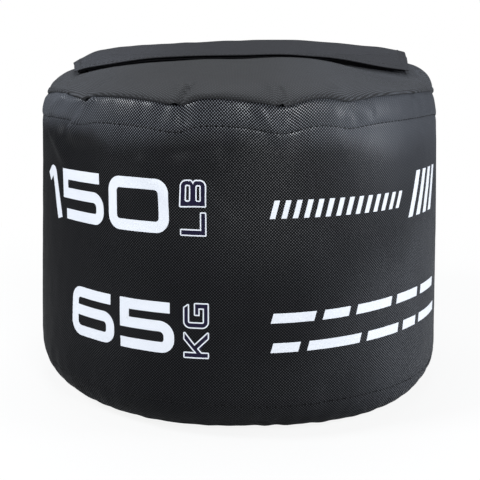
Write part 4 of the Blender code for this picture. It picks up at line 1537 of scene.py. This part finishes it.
wedge = plate_arrays(superellipse(0.0021, 0.0004, 2, 12), (slider_high.x - 0.0025, 0), lower_high - 1e-4,
                     plate_low + 1e-4, 0.0001)
slider_parts = [plate_arrays(slider_outline, (slider_x, 0), low, high, SLIDER_BEVEL)
                for low, high in ((plate_low, plate_high), (lower_low, lower_high))] + [wedge]
for side in (-1, 1):
    for low, high in ((plate_low - 0.0008, plate_low + 3e-4), (lower_high - 3e-4, lower_high + 0.0008)):
        slider_parts.append(plate_arrays(flange, (slider_x, side * 0.0054), low, high, 2e-4))
slider = together("zip_slider_cast", slider_parts + bridge_parts + [pin], 35)
dress(slider, zip_metal, "slider", ["zip_slider"])

grip_middle = puller_low.x + 0.009
puller_parts = [
    plate_arrays(superellipse(0.009, 0.0035, 2.8, 40), (grip_middle, 0), pin_height - 0.0008, pin_height + 0.0008,
                 0.0003, superellipse(0.0058, 0.0018, 2.6, 40)),
    plate_arrays(superellipse(0.0042, 0.0013, 4, 16), (slider_x - 0.0052, 0), pin_height - 0.0007,
                 pin_height + 0.0007, 0.0003),
    plate_arrays(superellipse(0.0021, 0.0021, 2, 24), (slider_x, pin_height), -0.0018, 0.0018, 0.0003,
                 superellipse(0.0012, 0.0012, 2, 24), upright=True),
]
puller = dress(together("zip_pull", puller_parts, 35), zip_metal, "puller", ["zip_puller"])
print("slider and puller:", face_count(slider, puller), "faces")

# %% [markdown]
# ## The flap's stitching
#
# The flap has a row of stitches along its front edge and both ends, and the hem has two rows where it is sewn to the
# lid. The rows on the flap are their own piece.

# %% Flap, hem and tab stitches
FLAP_TOP = LINING + GAP + FLAP_CLOTH
EDGE_STITCH = 0.0065
HEM_STITCH = 0.003
TAB_STITCH = 0.0025


def flap_top(x, y):
    """The flap's upper face over a place on the cut cloth."""
    across = x * flap_ends(x, y)
    return np.stack([across, y, lid_level(across, y) + flap_lift(across, y) + FLAP_TOP], -1)


def top_of(thickness):
    """The upper face of a layer on the lid."""
    return lambda x, y: np.stack([x, y, lid_level(x, y) + LID_GAP + thickness], -1)


edge_x = flap_high.x - EDGE_STITCH
edge_y = np.linspace(flap_low.y + EDGE_STITCH, flap_high.y - 0.004, 60)
long_x = np.linspace(-edge_x, edge_x, 260)
flap_rows = [stitches_on(flap_top, long_x, flap_low.y + EDGE_STITCH)]
flap_rows += [stitches_on(flap_top, side * edge_x, edge_y) for side in (-1, 1)]
flap_stitches = dress(together("flap_stitches", flap_rows), flap_thread_painted_paler, None)
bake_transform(flap_stitches)
hem_rows = [stitches_on(top_of(FLAP_TOP), long_x, y) for y in (hem_low.y + HEM_STITCH, hem_high.y - HEM_STITCH)]
slot_x = np.linspace(-slot_half - 0.004, slot_half + 0.004, 200)
lid_rows = [stitches_on(lid_point, slot_x, side * (SLOT_HALF_WIDTH + HEM_STITCH)) for side in (-1, 1)]
for word in ("left", "right"):
    low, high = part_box(f"zip_end_tab_{word}")
    tab_y = np.linspace(low.y + HEM_STITCH, high.y - HEM_STITCH, 30)
    lid_rows += [stitches_on(top_of(LINING), x, tab_y) for x in (low.x + TAB_STITCH, high.x - TAB_STITCH)]
top_stitches = dress(together("top_stitches", hem_rows + lid_rows), flap_thread_painted_paler)
print("flap and top stitches:", face_count(flap_stitches, top_stitches), "faces")

# %% [markdown]
# ## The liner bag
#
# The sand is in an inner bag whose mouth is gathered and tied. Its outline is a profile turned round the axis, and it
# is pleated more the nearer it is to the neck. The cloth is then blown up from a slightly smaller shape by Blender's
# cloth simulation on a coarse grid, and the finer mesh takes over the way each coarse point moved, up to a cap.

# %% Liner profile
LINER_INSET = 0.008
LINER_FLOOR = 0.0064
LINER_CLOTH = 0.0008
SWELL_CAP = 0.004
PLEATS = 17
DIMPLE_RADIUS = 0.055
ROOF_FROM = 0.2
BAG_MIDDLE = np.array([0, 0, 0.15])
tie_low, tie_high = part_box("liner_neck_tie")
liner_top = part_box("liner_bag")[1].z - 0.0012
neck_radius = tie_high.x - 0.0033
neck_floor = tie_low.z - 0.0052
neck_top = tie_high.z + 0.005


def liner_profile(count):
    """Radius and height from the middle of the floor, up the wall, over the shoulder, into the dimple and up the
    neck, at even steps of the length."""
    corner = np.linspace(0, pi / 2, 12)
    radius = [np.array([0.0]), flat_radius + (BASE_CORNER - LINER_INSET) * np.sin(corner)]
    height = [np.array([LINER_FLOOR]), BASE_CORNER - (BASE_CORNER - LINER_FLOOR) * np.cos(corner)]
    side = np.linspace(0.05, 1, 16)
    wall_height = BASE_CORNER + side * (seam_height - LINER_INSET - BASE_CORNER)
    share = (wall_height - BASE_CORNER) / (seam_height - BASE_CORNER)
    radius.append(body_radius - LINER_INSET - WALL_TAPER * share - SHOULDER_CURL * share**SHOULDER_POWER)
    height.append(wall_height)
    rim_radius, rim_height = radius[-1][-1], height[-1][-1]
    arc = np.linspace(0.06, 1, 20) * pi / 2
    radius.append(DIMPLE_RADIUS + (rim_radius - DIMPLE_RADIUS) * np.cos(arc))
    height.append(rim_height + (liner_top - rim_height) * np.sin(arc))
    dip = np.linspace(0.1, 1, 12)
    radius.append(DIMPLE_RADIUS + (neck_radius + 0.001 - DIMPLE_RADIUS) * dip)
    height.append(liner_top + (neck_floor - liner_top) * smooth(dip, 0, 1))
    radius.append(np.full(5, neck_radius))
    height.append(np.linspace(neck_floor + 0.002, neck_top, 5))
    radius, height = np.concatenate(radius), np.concatenate(height)
    along = np.concatenate([[0], np.cumsum(np.hypot(np.diff(radius), np.diff(height)))])
    place = np.linspace(0, along[-1], count)
    return np.interp(place, along, radius), np.interp(place, along, height), place


def liner_points(rows, columns, inset):
    """The turned profile with pleats round the neck, its walls moved in by inset, and kept under the lid's cloth."""
    radius, height = liner_profile(rows)[:2]
    turn = turns_round(columns)
    near = np.exp(-np.maximum(radius - neck_radius, 0) / 0.022)[:, None]
    pleat = np.cos(PLEATS * turn + 0.8 * np.sin(3 * turn)) * near
    wide = radius[:, None] - inset * smooth(radius, 0.06, 0.15)[:, None] + 0.0006 * pleat
    wide = np.maximum(wide, 0) * (radius > 0)[:, None]
    x, y = wide * np.sin(turn), -wide * np.cos(turn)
    level = height[:, None] + 0.001 * pleat * (radius > neck_radius + 0.0005)[:, None]
    low_part = height[:, None] < ROOF_FROM
    level = np.where(low_part, level, np.minimum(level, lid_level(x, y) - LINING - 0.0045) - 0.3 * inset)
    return np.stack([x, y, level], -1)


print(f"the liner's neck is {2 * neck_radius:.3f} m across")

# %% [markdown]
# ## Blowing it up
#
# The coarse bag is a grid of its own with no thickness. Its neck and floor are pinned, gravity is off and a light
# pressure pushes the cloth outwards for twenty frames. The result is read back as an array and the helper is removed.

# %% Liner cloth
SIM_ROWS, SIM_COLUMNS = 46, 72
SIM_FRAMES = 20
SIM_SETTINGS = {"quality": 5, "mass": 0.2, "tension_stiffness": 12, "compression_stiffness": 12,
                "bending_stiffness": 0.2, "use_pressure": True, "uniform_pressure_force": 4,
                "vertex_group_mass": "pinned"}
LINER_ROWS, LINER_COLUMNS = 140, 240
LINER_MAP_RADIUS = 0.2


def blown_up(points):
    """How far each point of a closed grid moves under pressure. The first row is the pole in the floor."""
    rows, columns = points.shape[:2]
    faces, _ = grid_faces(rows - 1, columns, closed=True)
    flat = points[1:].reshape(-1, 3)
    pole = len(flat)
    ring = np.arange(columns)
    fan = np.stack([np.full(columns, pole), (ring + 1) % columns, ring], -1)
    mesh = bpy.data.meshes.new("liner_coarse")
    mesh.from_pydata(flat.tolist() + [points[0, 0].tolist()], [], faces[:, ::-1].tolist() + fan[:, ::-1].tolist())
    helper = new_object("liner_coarse", mesh)
    pinned = helper.vertex_groups.new(name="pinned")
    fixed = np.nonzero((flat[:, 2] < 0.012) | (np.hypot(flat[:, 0], flat[:, 1]) < 0.03))[0]
    pinned.add(fixed.tolist() + [pole], 1.0, "REPLACE")
    cloth = helper.modifiers.new("cloth", "CLOTH")
    for name, value in SIM_SETTINGS.items():
        setattr(cloth.settings, name, value)
    cloth.settings.effector_weights.gravity = 0
    cloth.collision_settings.use_collision = False
    scene = bpy.context.scene
    for frame_number in range(1, SIM_FRAMES + 1):
        scene.frame_set(frame_number)
    graph = bpy.context.evaluated_depsgraph_get()
    blown = np.zeros(3 * (len(flat) + 1), np.float32)
    helper.evaluated_get(graph).data.vertices.foreach_get("co", blown)
    bpy.data.objects.remove(helper)
    scene.frame_set(1)
    moved = blown.reshape(-1, 3)[:-1].reshape(rows - 1, columns, 3) - points[1:]
    return np.concatenate([np.zeros((1, columns, 3)), moved])


def finer(coarse, rows, columns):
    """A coarse closed grid read at more places, straight between its points."""
    row = np.linspace(0, coarse.shape[0] - 1, rows)
    column = np.linspace(0, coarse.shape[1], columns, endpoint=False)
    low_row = np.minimum(row.astype(int), coarse.shape[0] - 2)
    low_column = column.astype(int)
    part_row, part_column = (row - low_row)[:, None, None], (column - low_column)[None, :, None]
    right = (low_column + 1) % coarse.shape[1]
    below = coarse[low_row][:, low_column] * (1 - part_column) + coarse[low_row][:, right] * part_column
    above = coarse[low_row + 1][:, low_column] * (1 - part_column) + coarse[low_row + 1][:, right] * part_column
    return below * (1 - part_row) + above * part_row


smaller = liner_points(LINER_ROWS, LINER_COLUMNS, SWELL_CAP)
moved = finer(blown_up(liner_points(SIM_ROWS, SIM_COLUMNS, SWELL_CAP)), LINER_ROWS, LINER_COLUMNS)
far = np.linalg.norm(moved, axis=-1, keepdims=True)
moved = moved * np.minimum(1, 0.9 * SWELL_CAP / np.maximum(far, 1e-9))
liner_outer = smaller + moved
roof = lid_level(liner_outer[..., 0], liner_outer[..., 1]) - LINING - 0.004
upper_part = liner_outer[..., 2] > ROOF_FROM
liner_outer[..., 2] = np.where(upper_part, np.minimum(liner_outer[..., 2], np.minimum(roof, liner_top)),
                               liner_outer[..., 2])
print(f"liner swelled by up to {1000 * far.max():.1f} mm before the cap")


def inward(points, depth):
    """The same grid, moved in along its normals. The pole stays on the axis."""
    normal = normals_of(np.concatenate([points[:, -2:], points, points[:, :2]], 1))[:, 2:-2]
    normal = normal * np.sign((normal * (points - BAG_MIDDLE)).sum(-1, keepdims=True) + 1e-12)
    normal[0] = (0, 0, -1)
    return points - depth * normal


liner_turn = turns_round(LINER_COLUMNS)
liner_along = liner_profile(LINER_ROWS)[2][:, None]
liner_place = pairs(liner_turn * LINER_MAP_RADIUS, liner_along)
liner_inner = inward(liner_outer, LINER_CLOTH)
liner = close_poles(shell("liner_cloth_bag", liner_outer, liner_inner, liner_place, closed=True,
                          period=tau * LINER_MAP_RADIUS))
liner_finish = woven("liner_weave", colour(0.1, 0.1, 0.1), colour(0.19, 0.19, 0.185), 0.0008, 0.0001)
dress(liner, liner_finish, replaced=["liner_bag"])

# %% [markdown]
# ## Sand and the neck's tie
#
# The sand fills the liner, so its surface is the liner's inner face drawn in a little, with a grainy unevenness. The
# tie is a twisted cord: a tube carried round the neck whose outline has three lobes that turn as it goes.

# %% Sand and tie
SAND_GAP = 0.0012
SAND_UNEVEN = 0.0016
sand_rows = LINER_ROWS - 10
sand_grid = inward(liner_inner[:sand_rows], SAND_GAP)
sand_grid[0, :, :2] = 0
grain = waves(sand_grid[..., 0] + sand_grid[..., 2], sand_grid[..., 1] - sand_grid[..., 2], 71, 20, 0.008, 0.03)
sand_grid = sand_grid + (BAG_MIDDLE - sand_grid) * SAND_UNEVEN * (1 + np.clip(grain, -1, 1))[..., None]
sand_top = sand_grid[-1].mean(0)
closing = np.linspace(1, 0, 9)[1:, None, None]
sand_grid = np.concatenate([sand_grid, sand_top + (sand_grid[-1][None] - sand_top) * closing])
sand_grid[0] = sand_grid[0].mean(0)
sand_faces, _ = grid_faces(*sand_grid.shape[:2], closed=True)
sand_points = sand_grid.reshape(-1, 3)
sand_piece = put_together("sand", sand_points, sand_faces, sand_points[sand_faces][..., :2])
close_poles(sand_piece)

sand_finish = Finish("dry_sand")
sand_body = sand_finish.place()
grains = sand_finish.add("ShaderNodeTexVoronoi", {}, {"Vector": sand_body, "Scale": 900.0})
grain_shade = sand_finish.noise(sand_body, 700.0, 2.0).step(0.35, 0.65)
sand_material = sand_finish.finish_with(
    Base_Color=sand_finish.mix(grain_shade, colour(0.42, 0.31, 0.18), colour(0.66, 0.55, 0.38)),
    Roughness=0.9,
    Normal=sand_finish.bump(1 - grains, 0.6, 0.0004),
)
dress(sand_piece, sand_material, replaced=["sand_fill"])

TIE_TURNS = 220
CORD_RADIUS = 0.0014
TWISTS = 26
tie_turn = turns_round(TIE_TURNS)
lobe = np.linspace(0, tau, 15)[:, None]
tie_size = CORD_RADIUS * (1 + 0.12 * np.cos(3 * lobe - TWISTS * tie_turn))
tie_radius = tie_high.x - CORD_RADIUS + tie_size * np.cos(lobe)
tie_height = (tie_low.z + tie_high.z) / 2 + tie_size * np.sin(lobe)
tie_grid = round_axis(tie_turn, tie_radius, tie_height)
tie_faces, _ = grid_faces(*tie_grid.shape[:2], closed=True)
tie_place = pairs(tie_turn * tie_high.x, lobe * CORD_RADIUS).reshape(-1, 2)
tie = put_together("neck_tie", tie_grid.reshape(-1, 3), tie_faces, tie_place[tie_faces])
close_poles(tie)
dress_tape(tie, "liner_neck_tie")
print("sand and tie:", face_count(sand_piece, tie), "faces")

# %% [markdown]
# ## Plain marks at the right
#
# The wall's right side carries plain marks in the same ink: a line of slanted ticks, and two lines of broken bars. They
# say nothing, and only balance the figures.

# %% Ticks and bars
MARK_SLANT = 0.28
ticks = [stroke([(arc, 0.1975), (arc, 0.2125)], 0.0046, slant=MARK_SLANT, columns=3)
         for arc in np.arange(0.03, 0.16, 0.0098)]
ticks += [stroke([(arc, 0.186), (arc, 0.228)], 0.0086, slant=MARK_SLANT) for arc in (0.186, 0.202, 0.218, 0.234)]
bars = []
for height, width, ends in ((0.1125, 0.0085, (28, 66, 74, 100, 108, 152, 160, 196, 204, 240)),
                            (0.0862, 0.0085, (28, 52, 60, 112, 120, 160, 168, 190, 198, 244))):
    for start, end in zip(ends[::2], ends[1::2]):
        bars.append(stroke([(0.001 * start, height), (0.001 * end, height)], width, slant=MARK_SLANT, columns=4))
plain_marks = dress(together("plain_marks", ticks + bars), ink_finish)
print("plain marks:", len(ticks), "ticks and", len(bars), "bars")

# %% [markdown]
# ## How each cloth was cut
#
# Every sheet is listed with the size that it was cut to, and that size is printed. The curved ones are measured along
# their own surface first.

# %% Flat sizes
def length_along(surface, first, second):
    """The length of a line on a surface, as the sum of its steps."""
    points = surface(*np.broadcast_arrays(first, second))
    return float(np.linalg.norm(np.diff(points, axis=0), axis=1).sum())


SECOND_LAYER = 0.162
FASTENER = (hook_high.x - hook_low.x, hook_high.y - hook_low.y)
ZIP_TAPE_WIDTH = 0.0204
END_TAB = (0.02, 0.04)
BASE_TAPE = (tau * 0.189, 0.013)
TOP_TAPE_WIDTH = 0.0117
BACK_TAPE = (0.024, 0.2285)

half_depth = length_along(lid_point, 0.0, np.linspace(SLOT_HALF_WIDTH, seam_radius + RIM_BULGE, 200))
half_depth += SLOT_HALF_WIDTH
lid_width = length_along(lid_point, np.linspace(-seam_radius - RIM_BULGE, seam_radius + RIM_BULGE, 400), -0.001)
half_area = pi / 4 * half_depth * lid_width
flap_depth = length_along(flap_top, 0.0, np.linspace(flap_low.y, flap_high.y, 200))
sheets = [
    (wall_cloth, (tau * body_radius, wall_length), "stretched", None),
    (lid_front_cloth, (lid_width, half_depth), "stretched", half_area),
    (lid_rear_cloth, (lid_width, half_depth), "stretched", half_area),
    (base_cloth, (2 * base_edge, 2 * base_edge), "stretched", pi * base_edge**2),
    (base_second_layer, (2 * SECOND_LAYER, 2 * SECOND_LAYER), "laid", pi * SECOND_LAYER**2),
    (closure_flap, (2 * flap_half, flap_depth), "draped", None),
    (flap_lining, (2 * (flap_half - LINING_SETBACK), flap_depth - LINING_SETBACK), "draped", None),
    (hem_cloth, (2 * flap_half, hem_high.y - hem_low.y), "laid", None),
    *((piece, FASTENER, "laid", None) for piece in (loop_strip, hook_strip)),
    *((piece, (tape_high.x - tape_low.x, ZIP_TAPE_WIDTH), "laid", None) for piece in zip_tapes.values()),
    *((piece, END_TAB, "laid", None) for piece in end_tabs),
    (base_ring, BASE_TAPE, "laid", None),
    (top_ring, (tau * seam_radius, TOP_TAPE_WIDTH), "laid", None),
    (back_tape, BACK_TAPE, "laid", None),
]
for piece, flat, held, area in sheets:
    print(f"{piece.name}: cut {flat[0]:.3f} by {flat[1]:.3f} m")

# %% [markdown]
# ## Floor, light and camera
#
# The photograph is cut out on white. The floor and the world are white to the camera only, so that the black cloth
# reflects the lamps and not the white, and the floor keeps a part of the bag's shadow. The key light hangs in front, a
# little to the right. One lamp stands at each side, one hangs over the lid, and weak ones fill in front and behind.

# %% Stage
FLOOR_HALF = 6.0
FLOOR_LEVEL = -0.0005
FLOOR_CORNERS = ((-1, -1), (1, -1), (1, 1), (-1, 1))
WORLD_STRENGTH = 0.16


def pale_floor():
    """A floor that the camera sees as white, dimmed a little where the bag shades it."""
    finish = Finish("floor_white")
    tree = finish.tree
    seen = finish.add("ShaderNodeLightPath", out="Is Camera Ray")
    matt = finish.add("ShaderNodeBsdfDiffuse", {}, {"Color": colour(0.6, 0.6, 0.6)})
    glow = finish.add("ShaderNodeEmission", {}, {"Color": colour(1, 1, 1), "Strength": 1.0})
    across, along, _ = finish.parts(finish.place())
    away = (across * across + along * along) ** 0.5
    both = finish.add("ShaderNodeMixShader", {}, {0: seen * (0.88 + 0.12 * away.step(0.25, 0.9)), 1: matt, 2: glow})
    tree.links.new(both.socket, tree.nodes["Material Output"].inputs["Surface"])
    return finish.material


def pale_world(strength):
    """White where the camera sees it, and a weak even light otherwise."""
    world = bpy.data.worlds.new("studio")
    world.use_nodes = True
    tree = world.node_tree
    background = tree.nodes["Background"]
    path = tree.nodes.new("ShaderNodeLightPath")
    level = tree.nodes.new("ShaderNodeMapRange")
    level.inputs["To Min"].default_value = strength
    level.inputs["To Max"].default_value = 1.0
    tree.links.new(path.outputs["Is Camera Ray"], level.inputs["Value"])
    tree.links.new(level.outputs[0], background.inputs["Strength"])
    background.inputs["Color"].default_value = colour(1, 1, 1)
    bpy.context.scene.world = world


floor_mesh = bpy.data.meshes.new("floor")
floor_mesh.from_pydata([(FLOOR_HALF * x, FLOOR_HALF * y, FLOOR_LEVEL) for x, y in FLOOR_CORNERS], [], [(0, 1, 2, 3)])
floor_mesh.materials.append(pale_floor())
floor = new_object("floor", floor_mesh)
pale_world(WORLD_STRENGTH)

LAMP_COLOUR = (0.94, 0.97, 1.0)
# Each lamp: its name, where it hangs, where it points, its width and height, and its power in watts.
LAMPS = (
    ("key", (0.5, -1.5, 1.08), (0, 0, 0.27), 0.45, 0.3, 18.2),
    ("front", (0.6, -1.9, 0.46), (0, 0, 0.25), 0.4, 0.2, 2.5),
    ("right", (1.6, -0.45, 0.6), (0, 0, 0.2), 0.45, 0.7, 19),
    ("left", (-1.5, -0.6, 1.5), (0, 0, 0.25), 0.5, 0.5, 42),
    ("top", (0.0, 0.3, 2.0), (0, 0, 0.3), 1.0, 1.0, 24),
    ("back", (0.3, 1.9, 0.26), (0, 0, 0.15), 0.6, 0.3, 12),
)
CAMERA_PLACE = (0.0009, -0.824, 0.316)
CAMERA_DOWN = 12.43
LENS = 57.4


def soft_light(name, place, aim, width, height, power):
    """A rectangular lamp at a place, turned towards a point."""
    lamp = bpy.data.lights.new(name, "AREA")
    lamp.shape = "RECTANGLE"
    lamp.size = width
    lamp.size_y = height
    lamp.energy = power
    lamp.color = LAMP_COLOUR
    holder = new_object(name, lamp)
    way = np.array(aim) - np.array(place)
    holder.location = place
    holder.rotation_mode = "QUATERNION"
    holder.rotation_quaternion = Vector(way).to_track_quat("-Z", "Y")


for lamp in LAMPS:
    soft_light(*lamp)

camera_data = bpy.data.cameras.new("camera")
camera_data.sensor_width = 36.0
camera_data.lens = LENS
camera = new_object("camera", camera_data)
camera.location = CAMERA_PLACE
camera.rotation_euler = (math.radians(90 - CAMERA_DOWN), 0, 0)
bpy.context.scene.camera = camera
bpy.context.scene.view_settings.view_transform = "Standard"
print("lamps:", len(LAMPS))
